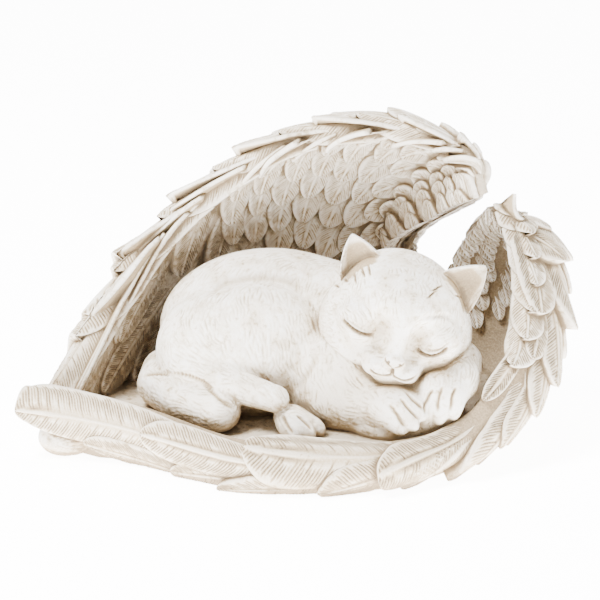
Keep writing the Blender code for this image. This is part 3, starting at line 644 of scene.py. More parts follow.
# A short feather needs fewer points than a long one, and the plain ones on the backs fewer still
SHORT = {"columns": TILE_COLUMNS, "gap": 1.6}
PLAIN = {"columns": PLAIN_COLUMNS, "gap": 2.3}

bm = bmesh.new()
lay(bm, TALL_WING, -1, tall_inner_tiles(), 31, cup=0.8, carving=0.6, tone=0.1, **SHORT)
tall_inside = finish_piece(bm, "tall_wing_inside")

bm = bmesh.new()
# The bare wall is darkened with painted shade where it shows between feathers
add_wall(bm, TALL_WING, 0.45)
lay(bm, TALL_WING, -1, TALL_INNER_LONG, 32, tone=0.15)
lay(bm, TALL_WING, 1, TALL_RIM, 40, tone=0.15, fold=1.0)
for form in (WING_JOINT, FAR_TIP):
    add_knob(bm, form)
tall_primaries = finish_piece(bm, "tall_wing_primaries")

bm = bmesh.new()
lay(bm, TALL_WING, 1, tall_outer_tiles(), 33, **PLAIN)
lay(bm, TALL_WING, 1, TALL_OUTER_LONG, 34, **PLAIN)
lay(bm, TALL_WING, 1, TALL_CREST, 35, tone=0.1)
tall_outside = finish_piece(bm, "tall_wing_outside")

# %% The low wing
bm = bmesh.new()
lay(bm, LOW_WING, 1, tiles(LOW_WING, LOW_OUTER_ROWS, 21), 36, tone=0.15)
lay(bm, LOW_WING, 1, LOW_OUTER_LONG, 37, tone=0.26)
lay(bm, LOW_WING, 1, LOW_RIM, 39, tone=0.15, fold=1.0)
low_outside = finish_piece(bm, "low_wing_outside")

bm = bmesh.new()
# The bare wall is darkened with painted shade where it shows between feathers
add_wall(bm, LOW_WING, 0.8)
lay(bm, LOW_WING, -1, tiles(LOW_WING, LOW_INNER_ROWS, 22, 0.4), 38, cup=0.5, reach=1.0, **SHORT)
lay(bm, LOW_WING, -1, LOW_INNER_LONG, 41, tone=0.3, reach=1.0)
low_inside = finish_piece(bm, "low_wing_inside")

# %% [markdown]
# ## The kitten in clay
# A sculptor builds the kitten from balls and rolls of clay and strokes the joins smooth. The same is
# done here. Each form is an ellipsoid or a tapering bar, and a distance function runs them together
# with a soft fillet. Blender's voxel remesh first makes one skin of the rough balls, and each point
# of that skin is then pulled onto the smooth clay surface.

# %% The body's forms
# A round form is centre, radii and turn in degrees about X, Y and Z, and a limb is a chain of centres
# with a radius each. Heights are above the nest's floor
TORSO = (
    ((-10, 14, 29.5), (56, 39, 39.5), (0, 3, 0)),
    ((30, 8, 26), (34, 32, 30), (0, 0, 0)),
    ((32, -8, 34), (28, 24, 26), (0, 0, 0)),
)
THIGH = (
    ((-18, -19, 30), (33, 21, 33), (0, 8, 0)),
    ((-41, -8, 26), (26, 28, 28), (0, 0, 0)),
)
CHEST = (
    ((18, -28, 20), (22, 22, 24), (0, 0, 0)),
    ((30, -32, 10), (27, 20, 14), (0, 0, 0)),
    ((56, -34, 11.5), (22, 15, 13.5), (0, 0, 0)),
    ((50, -43, 20), (17, 9, 7.5), (0, 0, 0)),
    ((46, -50, 3), (17, 11, 7), (0, 0, 0)),
    ((66, -46, 4), (15, 10, 9), (0, 0, 0)),
)
TAIL = ((-52, 20, 14, 10), (-64, 4, 12, 10.5), (-65, -14, 11, 11), (-52, -34, 10.5, 11),
        (-36, -46, 10, 10.5))
SHANK = ((-50, -28, 24, 9.5), (-30, -42, 21, 8), (-9.5, -50, 17, 6.5))
HIND_PAW = (
    ((-1, -51, 6.5), (10, 8.5, 7), (0, 20, -30)),
    ((-3, -57.5, 4.5), (7.5, 4.2, 4.8), (0, 15, -50)),
    ((2.5, -55.5, 4.5), (8.5, 4.3, 4.8), (0, 15, -42)),
    ((7, -51.5, 4.5), (8, 4.1, 4.8), (0, 15, -34)),
)
LEFT_ARM = ((14, -34, 12, 12), (28, -44, 13, 11), (39, -50, 14, 10))
LEFT_PAW = (
    ((45, -54.5, 14.5), (13, 11, 10.5), (0, 0, 0)),
    ((45, -60.5, 10.5), (9.5, 4.2, 4.8), (0, 27, -52)),
    ((50, -59.5, 13), (10.5, 4.3, 5), (0, 27, -52)),
    ((54.5, -56.5, 16), (9.5, 4.0, 4.8), (0, 27, -52)),
)
RIGHT_ARM = ((69, -14, 24, 13), (76, -30, 27, 12), (75, -42, 24, 11), (69, -49, 20, 10))
RIGHT_PAW = (
    ((67, -50, 20), (12, 9.5, 11), (0, 0, 0)),
    ((60.5, -55, 16), (4.3, 5, 9), (-14, 8, 0)),
    ((67, -56.5, 16.5), (4.6, 5, 9.5), (-14, 6, 0)),
    ((73.5, -54.5, 17.5), (4.3, 5, 9), (-14, 4, 0)),
)

# %% The head's forms
# The head is drawn about its own centre: X to the kitten's left, -Y out of the face, Z up
HEAD_CENTRE = (50, -25, 49)
HEAD_TURN = (10, 0, -6)
HEAD_ROLL = 14.0
SKULL = (
    ((-2.5, 3, 3), (30.5, 29, 26.5), (0, 8, 0)),
    ((0, -11, 12), (22, 17, 14), (0, 0, 0)),
    ((-18, -6, -11), (18, 19, 18.5), (0, 0, 0)),
    ((14.5, -6, -8), (17.5, 19, 17), (0, 0, 0)),
)
RUFF = (
    ((-28.5, 1, -6), (8, 11, 13), (0, 12, 0)),
    ((24.5, 2, -4), (8, 11, 13), (0, -12, 0)),
)
MUZZLE = (
    ((-6.5, -27, -11.5), (9.5, 8.5, 6.2), (0, 0, 14)),
    ((6.5, -27, -11.5), (9.5, 8.5, 6.2), (0, 0, -14)),
    ((0, -24, -17.5), (9, 8, 5.5), (0, 0, 0)),
)
NOSE = (((0, -33.8, -5.4), (5.0, 3.4, 3.2), (-20, 0, 0)),)
BRIDGE = ((0, -19, 12, 9), (0, -26, 3, 6.5), (0, -31, -4, 4.6))
LIDS = (
    ((-19, -19.5, 4), (10.5, 9, 9), (0, 8, 14)),
    ((17, -19.5, 4), (10.5, 9, 9), (0, -8, -14)),
)
HOLLOWS = (
    ((-9.8, -32, 5), (4.4, 8.5, 9), (0, -8, 0)),
    ((7.6, -32, 5), (4.2, 8.5, 9), (0, 8, 0)),
    ((-18.5, -35, -11), (4.5, 8, 6), (0, 30, 0)),
    ((18.0, -34, -12), (4.5, 8, 6), (0, -30, 0)),
)


def head_matrix():
    """From the head's own frame to the statue's, heights above the floor."""
    pitch, _, yaw = (math.radians(a) for a in HEAD_TURN)
    turn = Matrix.Rotation(yaw, 4, "Z") @ Matrix.Rotation(pitch, 4, "X")
    roll = Matrix.Rotation(math.radians(HEAD_ROLL), 4, "Y")
    return Matrix.Translation(HEAD_CENTRE) @ turn @ roll


HEAD = head_matrix()


def moved(co, matrix):
    m = np.array(matrix)
    return co @ m[:3, :3].T + m[:3, 3]


# %% Distance to the clay
def ellipsoid(p, form):
    """Distance from points p to a round form, below zero inside it."""
    centre, radii, turn = form
    q = moved(p, turned(centre, turn).inverted())
    r = np.array(radii, float)
    k0 = np.linalg.norm(q / r, axis=1)
    k1 = np.linalg.norm(q / r**2, axis=1)
    return k0 * (k0 - 1) / np.maximum(k1, 1e-6)


def limb(p, chain):
    """Distance from points p to a chain of tapering round bars."""
    best = np.full(len(p), 1e9)
    knots = [np.array(c[:3], float) for c in chain]
    radii = [c[3] for c in chain]
    for a, b, ra, rb in zip(knots, knots[1:], radii, radii[1:]):
        along = b - a
        h = np.clip(((p - a) @ along) / (along @ along), 0, 1)
        gap = np.linalg.norm(p - a - h[:, None] * along, axis=1)
        best = np.minimum(best, gap - ra - (rb - ra) * h)
    return best


def soft_union(distances, blend):
    """The union of forms with a fillet of about half the blend where they meet."""
    total = distances[0]
    for d in distances[1:]:
        h = np.maximum(blend - np.abs(total - d), 0) / blend
        total = np.minimum(total, d) - h * h * blend / 4
    return total


def body_distance(p):
    body = soft_union([ellipsoid(p, f) for f in TORSO], 16)
    thigh = soft_union([ellipsoid(p, f) for f in THIGH], 14)
    body = soft_union([body, thigh], 3)
    chest = soft_union([ellipsoid(p, f) for f in CHEST], 10)
    body = soft_union([body, chest], 3)
    body = soft_union([body, limb(p, SHANK)], 3)
    hind_paw = soft_union([ellipsoid(p, f) for f in HIND_PAW], 2)
    body = soft_union([body, hind_paw, limb(p, TAIL)], 1.5)
    left = soft_union([limb(p, LEFT_ARM)] + [ellipsoid(p, f) for f in LEFT_PAW], 2.5)
    right = soft_union([limb(p, RIGHT_ARM)] + [ellipsoid(p, f) for f in RIGHT_PAW], 2.5)
    return soft_union([body, left, right], 3)


def head_distance(p):
    """Distance to the head, with p in the head's own frame."""
    face = soft_union([ellipsoid(p, f) for f in SKULL], 12)
    face = soft_union([face] + [ellipsoid(p, f) for f in RUFF], 8)
    face = soft_union([face, limb(p, BRIDGE)], 8)
    face = soft_union([face] + [ellipsoid(p, f) for f in LIDS], 5)
    face = soft_union([face] + [ellipsoid(p, f) for f in MUZZLE], 4)
    for hollow in HOLLOWS:
        face = -soft_union([-face, ellipsoid(p, hollow)], 6)
    return soft_union([face] + [ellipsoid(p, f) for f in NOSE], 1.5)


# %% Rough balls, one skin, smooth clay
def add_round(bm, form):
    centre, radii, turn = form
    matrix = turned(centre, turn) @ Matrix.Diagonal((*radii, 1))
    bmesh.ops.create_icosphere(bm, subdivisions=4, radius=1, matrix=matrix)


def add_limb(bm, chain):
    """Overlapping balls along the chain, close enough to fuse into one bar."""
    for a, b in zip(chain, chain[1:]):
        a, b = np.array(a, float), np.array(b, float)
        count = max(2, int(np.linalg.norm((b - a)[:3]) / 2))
        for k in range(count + 1):
            x, y, z, r = a + (b - a) * k / count
            place = Matrix.Translation((x, y, z))
            bmesh.ops.create_icosphere(bm, subdivisions=3, radius=r, matrix=place)


def one_skin(bm, voxel):
    """The bmesh's shapes fused into one closed skin of small quads."""
    obj = placed("clay", mesh_from(bm, "clay"))
    remesh = obj.modifiers.new("fuse", "REMESH")
    remesh.mode = "VOXEL"
    remesh.voxel_size = voxel
    graph = bpy.context.evaluated_depsgraph_get()
    skin = bpy.data.meshes.new_from_object(obj.evaluated_get(graph))
    bpy.data.objects.remove(obj)
    return skin


def draw_onto(co, distance, rounds=5):
    """Pulls points onto the surface where distance is zero."""
    e = 0.05
    for _ in range(rounds):
        d = distance(co)
        slope = np.stack([distance(co + np.eye(3)[k] * e) - d for k in range(3)], axis=1) / e
        length = np.maximum((slope**2).sum(1), 0.2)
        co = co - np.clip(d / length, -2, 2)[:, None] * slope
    return co


# %% The body
BODY_VOXEL = 0.52
UNDER_FLOOR = 1.5
bm = bmesh.new()
for form in TORSO + THIGH + CHEST + HIND_PAW + LEFT_PAW + RIGHT_PAW:
    add_round(bm, form)
for chain in (TAIL, SHANK, LEFT_ARM, RIGHT_ARM):
    add_limb(bm, chain)
bmesh.ops.bisect_plane(
    bm, geom=bm.verts[:] + bm.edges[:] + bm.faces[:], plane_co=(0, 0, -6), plane_no=(0, 0, -1),
    clear_outer=True,
)
bmesh.ops.holes_fill(bm, edges=[e for e in bm.edges if e.is_boundary])
body_clay = one_skin(bm, BODY_VOXEL)
body_co = points_of(body_clay)
above = body_co[:, 2] > -5
body_co[above] = draw_onto(body_co[above], body_distance)
print("body points:", len(body_co))

# %% The head and its ears
HEAD_VOXEL = 0.42
EARS = (
    ((-23.5, -1, 19), (-8, -27, 8), 22, 17, -1.0),
    ((19.5, -1, 18), (-8, 34, -8), 24, 20, 0),
)


def add_ear(bm, ear):
    """A cupped triangular leaf with a rounded tip, open to the front. An ear is the centre of its
    base, turn in degrees, width, height and how far its tip leans out, in the head's frame."""
    centre, turn, width, height, lean = ear
    template, s, t, behind = slab_template(40, 36)
    half = width / 2 * (1 - np.clip(s, 0, 1) ** 1.6) ** 0.8 + 0.8
    cup = 8.0 * (1 - np.abs(t) ** 2.4) * (1 - 0.75 * s) + 1.5 * s
    y = cup + np.where(behind, EAR * (0.8 + 1.2 * (1 - t**2) * (1 - s)), 0)
    co = np.stack([half * t + lean * s**2, y, height * (s * 1.25 - 0.25)], axis=1)
    add_copy(bm, template, moved(co, turned(centre, turn)), np.zeros(len(co)))
    bpy.data.meshes.remove(template)


bm = bmesh.new()
for form in SKULL + RUFF + MUZZLE + NOSE + LIDS:
    add_round(bm, form)
add_limb(bm, BRIDGE)
head_clay = one_skin(bm, HEAD_VOXEL * 1.4)
set_points(head_clay, draw_onto(points_of(head_clay), head_distance))
bm = bmesh.new()
bm.from_mesh(head_clay)
for ear in EARS:
    add_ear(bm, ear)
head_clay = one_skin(bm, HEAD_VOXEL)
head_co = points_of(head_clay)
print("head points:", len(head_co))

# %% [markdown]
# ## Carving
# Eyelids, nose, mouth and toes are cut with a loop tool in the real clay. Here a cut is a smooth path
# laid on the skin: each point near the path moves inwards, deepest on the path itself, and a cut with
# a lip pushes up a small ridge beside it. The same call notes how much brown wash the cut will hold.

# %% A cut along a path
def smooth_path(knots, count=60):
    return catmull(np.array(knots, float), np.linspace(0, 1, count))


def out_of(mesh, co):
    """The outward direction at each point."""
    set_points(mesh, co)
    normals = np.empty(len(co) * 3, np.float32)
    mesh.vertex_normals.foreach_get("vector", normals)
    return normals.reshape(-1, 3).astype(float)


def nearest_on(path, co, reach):
    """Distance from each point to a path of close points, and the share along it, within reach."""
    low, high = path.min(0) - reach, path.max(0) + reach
    near = np.flatnonzero(((co > low) & (co < high)).all(1))
    gaps = np.linalg.norm(co[near, None] - path[None], axis=2)
    best = gaps.argmin(1)
    gap = gaps[np.arange(len(near)), best]
    kept = gap < reach
    return near[kept], gap[kept], best[kept] / (len(path) - 1)


def cut(co, out, wash_and_shade, path, depth, width, lip=0.0, stain=1.0, fade=0.12):
    """Cuts one groove along path, tapering over the share fade at both ends."""
    near, gap, along = nearest_on(path, co, width * 4)
    ends = np.clip(np.minimum(along, 1 - along) / fade, 0, 1) ** 0.5
    groove = np.exp(-((gap / width) ** 2)) * ends
    ridge = np.exp(-(((gap - 1.9 * width) / (0.8 * width)) ** 2)) * ends
    co[near] += out[near] * (lip * ridge - depth * groove)[:, None]
    wash_and_shade[near] = np.maximum(wash_and_shade[near], np.clip(stain * groove, 0, 1))


def paint_shade_spots(co, wash_and_shade, spots):
    """Painted shade round each spot, in a hollow or under the chin. A spot is a place, a reach and a
    share.
    """
    for place, reach, stain in spots:
        gap = np.linalg.norm(co - place, axis=1) / reach
        np.maximum(wash_and_shade, stain * np.exp(-gap**2), out=wash_and_shade)


def on_face(co, knots):
    """A smooth path over the face, drawn from the front as (x, z) points."""
    flat = smooth_path(knots)
    front = np.flatnonzero(co[:, 1] < -8)
    path = []
    for x, z in flat:
        gap = (co[front, 0] - x) ** 2 + (co[front, 2] - z) ** 2
        close = front[gap < 1.0]
        path.append(co[close[co[close, 1].argmin()]] if len(close) else (x, -20, z))
    path = np.array(path)
    path[:, 0], path[:, 2] = flat[:, 0], flat[:, 1]
    return path


# %% A line as the picture shows it
# Lines drawn on the picture plane: millimetres to the right, and up, with the eye 18 degrees above
# level. Each is laid on the skin that the eye sees there
EYE_BACK = np.array([0, -math.cos(math.radians(18)), math.sin(math.radians(18))])
EYE_UP = np.array([0, math.sin(math.radians(18)), math.cos(math.radians(18))])


def as_seen(co, knots):
    """A smooth path over the skin that is seen along a line drawn on the picture plane."""
    right, up, near = co[:, 0], co @ EYE_UP, co @ EYE_BACK
    path = []
    for x, y in smooth_path(knots, 40):
        close = np.flatnonzero((right - x) ** 2 + (up - y) ** 2 < 0.7)
        if len(close):
            path.append(co[close[near[close].argmax()]])
    path = np.array(path)
    for _ in range(6):
        path[1:-1] = (path[:-2] + 2 * path[1:-1] + path[2:]) / 4
    return path


# %% [markdown]
# The face is what people look at first. The kitten's closed lids are two lines that curve down like
# bows, each with a finer crease above it. The nose is a small wedge, and the mouth two short arcs
# from its foot. The points of each line are read off the face as it is seen from the front.

# %% The lines of the face
EYE_LINES = (
    ((-28.4, 5.0), (-25.2, 4.0), (-21.2, 2.6), (-16.7, 1.5), (-11.4, 0.8)),
    ((8.4, -0.4), (11.6, -1.4), (15.4, -1.2), (19.1, 1.1), (22.5, 5.2)),
)
LID_CREASES = (
    ((-28.7, 7.2), (-25, 6.6), (-20, 5.0), (-15.5, 4.0), (-11.8, 3.2)),
    ((8.3, 1.8), (12.0, 1.4), (15.8, 2.0), (19.4, 4.4), (22.0, 7.4)),
)
NOSE_LINES = (
    ((-5.6, -3.6), (-4.4, -5.6), (-2.4, -6.9), (0, -8.2)),
    ((5.6, -3.8), (4.2, -5.6), (2.2, -6.9), (0, -8.2)),
    ((0, -8.2), (0.3, -10.4), (0.5, -12.4)),
)
MOUTH_LINES = (
    ((0.5, -12.2), (-1.6, -13.7), (-4.4, -14.2), (-7.6, -13.5), (-10.5, -12.0)),
    ((0.5, -12.2), (2.6, -13.4), (5.9, -13.6), (9.7, -11.9), (13.4, -9.6)),
)
NOSTRILS = (
    ((-3.5, -5.2), (-3.0, -5.2), (-2.5, -5.2)), ((2.5, -5.3), (3.0, -5.3), (3.5, -5.3)),
)
BROW_CREASES = (
    ((6.5, 16.5), (12, 18.0), (18, 17.6), (23, 15.0)), ((-11, 8), (-12.5, 13), (-11, 18)),
    ((5.5, 6), (5.2, 10), (6.5, 14.5)),
)
# The lines, and how they are cut: depth, width, lip, stain and the share that fades at each end
FACE_CUTS = (
    (EYE_LINES, 1.9, 0.85, 0.8, 2.6, 0.12), (LID_CREASES, 0.9, 0.6, 0.3, 1.0, 0.25),
    (NOSE_LINES, 1.4, 0.7, 0.3, 2.4, 0.05), (MOUTH_LINES, 1.2, 0.7, 0.3, 2.0, 0.15),
    (NOSTRILS, 1.3, 0.8, 0.0, 1.6, 0.01), (BROW_CREASES, 0.7, 1.2, 0.2, 0.3, 0.4),
)

head_wash_and_shade = np.zeros(len(head_co))
out = out_of(head_clay, head_co)
for lines, *how in FACE_CUTS:
    for line in lines:
        cut(head_co, out, head_wash_and_shade, on_face(head_co, line), *how)
print("cuts in the face:", sum(len(lines) for lines, *_ in FACE_CUTS))


# %% The ears' hollows, the tufts at their feet, and painted shade in the eye sockets
def inside_ear(co, ear):
    """How far each point is into the hollow of an ear: 1 in the middle, 0 on the rim and outside."""
    centre, turn, width, height, lean = ear
    q = moved(co, turned(centre, turn).inverted())
    s = q[:, 2] / height
    half = width / 2 * (1 - np.clip(s * 0.8 + 0.2, 0, 1) ** 1.6) ** 0.8 + 0.8
    across = np.abs(q[:, 0] - lean * s**2) / half
    cup = 8.0 * (1 - np.clip(across, 0, 1) ** 2.4) * (1 - 0.75 * s) + 1.5 * s
    front = np.clip((cup + 0.5 * EAR - q[:, 1]) / 0.6, 0, 1) * (q[:, 1] > -4)
    share = np.clip((0.88 - across) / 0.2, 0, 1) * np.clip((0.9 - s) / 0.2, 0, 1) * (s > -0.2)
    return share * front


EAR_STAIN = 0.66
TUFT_CUT = (0.9, 0.5, 0.3, 1.1, 0.4)
# Tufts of hair at the foot of each ear, drawn on the picture plane as the toes are
TUFTS = (
    ((26.5, 60.3), (27.2, 54.1)), ((29.9, 63.0), (31.3, 57.6)), ((33.0, 64.3), (33.9, 58.3)),
    ((19.6, 59.1), (23.8, 55.5)), ((15.6, 55.5), (19.6, 52.9)), ((62.6, 51.4), (68.8, 54.1)),
    ((72.2, 51.4), (74.3, 48.3)), ((74.3, 49.1), (78.1, 48.3)), ((60.7, 48.1), (66.1, 52.1)),
)
for line in TUFTS:
    path = moved(as_seen(moved(head_co, HEAD), line), HEAD.inverted())
    cut(head_co, out, head_wash_and_shade, path, *TUFT_CUT)
for ear in EARS:
    head_wash_and_shade = np.maximum(head_wash_and_shade, EAR_STAIN * inside_ear(head_co, ear))
# Painted shade by the inner corners of the eyes and in the hollows beside the muzzle
SOCKET_SHADE = (
    ((-9, -24, 4), 8, 0.32), ((7, -24, 3), 7, 0.32), ((14, -22, -6), 7, 0.26),
    ((-16, -20, -9), 9, 0.24),
)
paint_shade_spots(head_co, head_wash_and_shade, SOCKET_SHADE)
print("tufts:", len(TUFTS))

# %% The toes and the folds of the body
# Depth, width, lip, stain and the share that fades at each end, as on the face
TOE_CUT = (1.3, 0.75, 0.25, 0.9, 0.2)
FOLD_CUT = (1.5, 2.0, 0.15, 0.4, 0.2)
TAIL_CUT = (1.3, 1.1, 0.3, 0.9, 0.1)
TOE_LINES = (
    ((42.3, -0.5), (46.4, -6.0), (51.0, -11.3)), ((48.3, 2.4), (52.6, -3.2), (57.5, -8.2)),
    ((50.2, 5.7), (54.6, 1.0), (59.3, -3.1)), ((62.6, 6.1), (60.0, 1.3), (60.0, -5.3)),
    ((67.5, 7.9), (65.2, 2.1), (64.2, -5.3)), ((74.5, 7.2), (72.7, 2.4), (71.6, -4.9)),
    ((-6.8, -5.7), (-4.6, -10.2), (-1.9, -15.2)), ((0.5, -5.7), (4.4, -9.0), (7.8, -12.7)),
)

body_wash_and_shade = np.zeros(len(body_co))
body_out = out_of(body_clay, body_co)
for line in TOE_LINES:
    cut(body_co, body_out, body_wash_and_shade, as_seen(body_co, line), *TOE_CUT)
print("toe grooves:", len(TOE_LINES))

# Where the haunch folds over the belly, and where the hind leg lies on the tail
HAUNCH_FOLDS = (
    ((-39.7, 49.3), (-35.4, 55.0), (-19.6, 57.9), (-3.8, 56.4), (3.6, 51.0)),
    ((9.2, 24.0), (6.0, 15.0), (-1.0, 4.5)),
)
TAIL_FOLD = ((-73.4, 11.3), (-62.6, 12.7), (-46.8, 9.8), (-36.8, 2.7), (-27.0, -4.5))
for line in HAUNCH_FOLDS:
    cut(body_co, body_out, body_wash_and_shade, as_seen(body_co, line), *FOLD_CUT)
cut(body_co, body_out, body_wash_and_shade, as_seen(body_co, TAIL_FOLD), *TAIL_CUT)

# Painted shade on the breast under the chin, and low between the legs
BREAST_AND_LEG_SHADE = (((26, -44, 14), 24, 0.34), ((-40, -40, 8), 20, 0.22), ((58, -46, 14), 14, 0.2))
paint_shade_spots(body_co, body_wash_and_shade, BREAST_AND_LEG_SHADE)

# %% [markdown]
# ## Fur
# The sculptor draws the coat with a fine point: a few short strokes side by side, then the next few
# beside or below them, following the way the hair lies. Here the way the hair lies is given by a
# handful of guides, each a place and a direction, and every clump of strokes mixes the nearest ones.

# %% Clumps of strokes
BODY_GUIDES = (
    ((-10, 20, 68), (-0.8, -0.3, -0.3)), ((-30, -20, 60), (-0.12, -0.4, -1)),
    ((-18, -38, 35), (0, 0, -1)), ((-60, -5, 35), (-0.15, 0, -1)),
    ((22, -20, 50), (0, -0.3, -1)), ((18, -45, 22), (0.15, 0, -1)),
    ((-50, -34, 22), (1, -0.5, -0.3)), ((-30, -48, 19), (1, -0.4, -0.2)),
    ((-60, 16, 14), (-0.6, -0.8, 0)), ((-70, -10, 12), (0, -1, 0)), ((-56, -40, 11), (0.9, -0.6, 0)),
    ((-38, -52, 10), (1, -0.3, 0)), ((28, -50, 14), (1, -0.4, 0)), ((78, -30, 30), (-0.3, -0.4, -1)),
)
HEAD_GUIDES = (
    ((0, -22, 18), (0, 0.3, 1)), ((0, 0, 30), (0, 1, 0.1)), ((-15, -18, 16), (-0.4, 0.3, 1)),
    ((15, -18, 16), (0.4, 0.3, 1)), ((-26, -12, -6), (-1, 0.6, -0.4)), ((26, -12, -6), (1, 0.6, -0.4)),
    ((0, -20, -24), (0, 0.2, -1)), ((-14, -26, -6), (-0.9, 0.2, -0.4)),
    ((14, -26, -6), (0.9, 0.2, -0.4)), ((-26, 4, 12), (-0.6, 0.4, 0.8)), ((24, 4, 12), (0.6, 0.4, 0.8)),
)


def comb(co, out, wash_and_shade, guides, bare, clumps, apart, depth, width, longest, seed):
    """Cuts clumps of tapering strokes into the skin, except where bare says so."""
    chance = np.random.default_rng(seed)
    tree = KDTree(len(co))
    for i, p in enumerate(co):
        tree.insert(p, i)
    tree.balance()
    places = np.array([g[0] for g in guides], float)
    ways = np.array([g[1] for g in guides], float)
    ways /= np.linalg.norm(ways, axis=1, keepdims=True)
    skin, centres = co.copy(), np.full((1, 3), 1e3)
    dig = np.zeros(len(co))
    for i in chance.permutation(len(co)):
        p, n = skin[i], out[i]
        if len(centres) > clumps:
            break
        if bare(p, n) or ((centres - p) ** 2).sum(1).min() < apart**2:
            continue
        centres = np.vstack([centres, p])
        pull = (1 / (((places - p) ** 2).sum(1) + 16) ** 1.5) @ ways
        way = pull - n * (pull @ n)
        way /= max(np.linalg.norm(way), 1e-6)
        beside = np.cross(n, way)
        turn = chance.normal(0, 0.16)
        c, s = math.cos(turn), math.sin(turn)
        way, beside = way * c + beside * s, beside * c - way * s
        near = np.array([k for _, k, _ in tree.find_range(p, longest * 0.75 + 1)])
        near = near[out[near] @ n > 0.2]
        along, across = (skin[near] - p) @ way, (skin[near] - p) @ beside
        count = chance.integers(3, 7)
        bend, gap = chance.normal(0, 0.03), chance.uniform(1.4, 2.4)
        strong = chance.uniform(0.2, 1.0)
        for k in range(count):
            length = longest * chance.uniform(0.45, 1.0)
            x = (along - chance.uniform(-0.2, 0.2) * longest) / length
            y0 = (k - (count - 1) / 2) * gap * (1 - 0.45 * x) + bend * along**2 + chance.normal(0, 0.12)
            taper = np.clip(1 - (2 * x) ** 2, 0, 1) ** 0.8
            stroke = np.exp(-(((across - y0) / width) ** 2)) * taper * strong * chance.uniform(0.6, 1)
            dig[near] = np.maximum(dig[near], stroke)
    co -= out * (dig * depth)[:, None]
    np.maximum(wash_and_shade, dig * 0.75, out=wash_and_shade)
    return len(centres) - 1


def bare_body(p, n):
    paws = (p[1] < -49 and 36 < p[0] and p[2] < 27) or (p[1] < -49 and -8 < p[0] < 14 and p[2] < 12)
    return p[2] < 0.5 or n[2] < -0.5 or paws


def bare_head(p, n):
    x, y, z = p
    nose = y < -22 and (abs(x) < 6 or z < -5)
    eyes = y < -12 and -1.5 < z - 0.12 * abs(x) < 4.5 and 8 < abs(x) < 26
    ears = z > 19 and abs(x) > 10
    return nose or eyes or ears


# Number of clumps, gap between them, depth and width of a stroke, its greatest length, and a seed
BODY_FUR = (760, 4.9, 0.75, 0.46, 10.5, 51)
HEAD_FUR = (480, 3.9, 0.42, 0.36, 7.5, 52)

count = comb(body_co, body_out, body_wash_and_shade, BODY_GUIDES, bare_body, *BODY_FUR)
print("clumps on the body:", count)
out = out_of(head_clay, head_co)
count = comb(head_co, out, head_wash_and_shade, HEAD_GUIDES, bare_head, *HEAD_FUR)
print("clumps on the head:", count)

# %% The kitten's two pieces
BODY_TRIANGLES = 165000
HEAD_TRIANGLES = 130000


def thinned(piece, triangles):
    """Merges faces where the skin is flat, down to about so many triangles."""
    thin = piece.modifiers.new("thin", "DECIMATE")
    thin.ratio = triangles / len(piece.data.loop_triangles)
    graph = bpy.context.evaluated_depsgraph_get()
    mesh = bpy.data.meshes.new_from_object(piece.evaluated_get(graph))
    piece.modifiers.clear()
    piece.data = mesh
    mesh.name = piece.name
    mesh.calc_loop_triangles()
    print(piece.name, "thinned to", len(mesh.loop_triangles))


set_points(body_clay, body_co + (0, 0, FLOOR))
set_share(body_clay, "wash_and_shade", body_wash_and_shade)
bm = bmesh.new()
bm.from_mesh(body_clay)
bmesh.ops.bisect_plane(
    bm, geom=bm.verts[:] + bm.edges[:] + bm.faces[:], plane_co=(0, 0, FLOOR - UNDER_FLOOR),
    plane_no=(0, 0, -1), clear_outer=True,
)
bmesh.ops.holes_fill(bm, edges=[e for e in bm.edges if e.is_boundary])
kitten_body = finish_piece(bm, "kitten_body")
thinned(kitten_body, BODY_TRIANGLES)

set_points(head_clay, moved(head_co, HEAD) + (0, 0, FLOOR))
set_share(head_clay, "wash_and_shade", head_wash_and_shade)
bm = bmesh.new()
bm.from_mesh(head_clay)
kitten_head = finish_piece(bm, "kitten_head")
thinned(kitten_head, HEAD_TRIANGLES)

# %% The floor of the nest
FLOOR_WASH = 0.42
bm = bmesh.new()
count = 96
near = LOW_WING.middle(np.linspace(0, 0.93, count), np.zeros(count))
far = TALL_WING.middle(np.linspace(0.96, 0, count), np.zeros(count))
edge = np.concatenate([near, far])[:, :2]
ring = [bm.verts.new((x, y, 0)) for x, y in edge]
bottom = bm.faces.new(ring)
made = bmesh.ops.extrude_face_region(bm, geom=[bottom])
top = [v for v in made["geom"] if isinstance(v, bmesh.types.BMVert)]
bmesh.ops.translate(bm, verts=top, vec=(0, 0, FLOOR))
bmesh.ops.recalc_face_normals(bm, faces=bm.faces)
nest_floor = finish_piece(bm, "nest_floor")
set_share(nest_floor.data, "wash_and_shade", np.full(len(nest_floor.data.vertices), FLOOR_WASH))

# %% [markdown]
# ## The finish
# The casting is polyester resin filled with marble dust, which sets ivory and matt. A thin brown
# stain is brushed on and wiped off again, so that it stays in the carved lines and between feathers.
# Two things tell the material where that is: a number kept on each point, for fine lines, and
# ambient occlusion, which finds every deeper hollow by itself. Both also paint shade: the number
# darkens the eye sockets, the breast under the chin, the feathers' undersides and the bare walls, and
# the occlusion darkens the gaps between feathers and, over a wider reach, the enclosed inner faces.

# %% Colours and nodes
def linear(hex_colour):
    """An sRGB hex colour as linear red, green and blue."""
    out = []
    for k in (0, 2, 4):
        c = int(hex_colour[k:k + 2], 16) / 255
        out.append(c / 12.92 if c <= 0.04045 else ((c + 0.055) / 1.055) ** 2.4)
    return (*out, 1.0)


def add_node(tree, kind, settings=(), links=()):
    """Adds a node. Settings are (input or property, value) and links are (input, output socket)."""
    node = tree.nodes.new(kind)
    for name, value in settings:
        if name in node.inputs:
            node.inputs[name].default_value = value
        else:
            setattr(node, name, value)
    for name, socket in links:
        tree.links.new(socket, node.inputs[name])
    return node


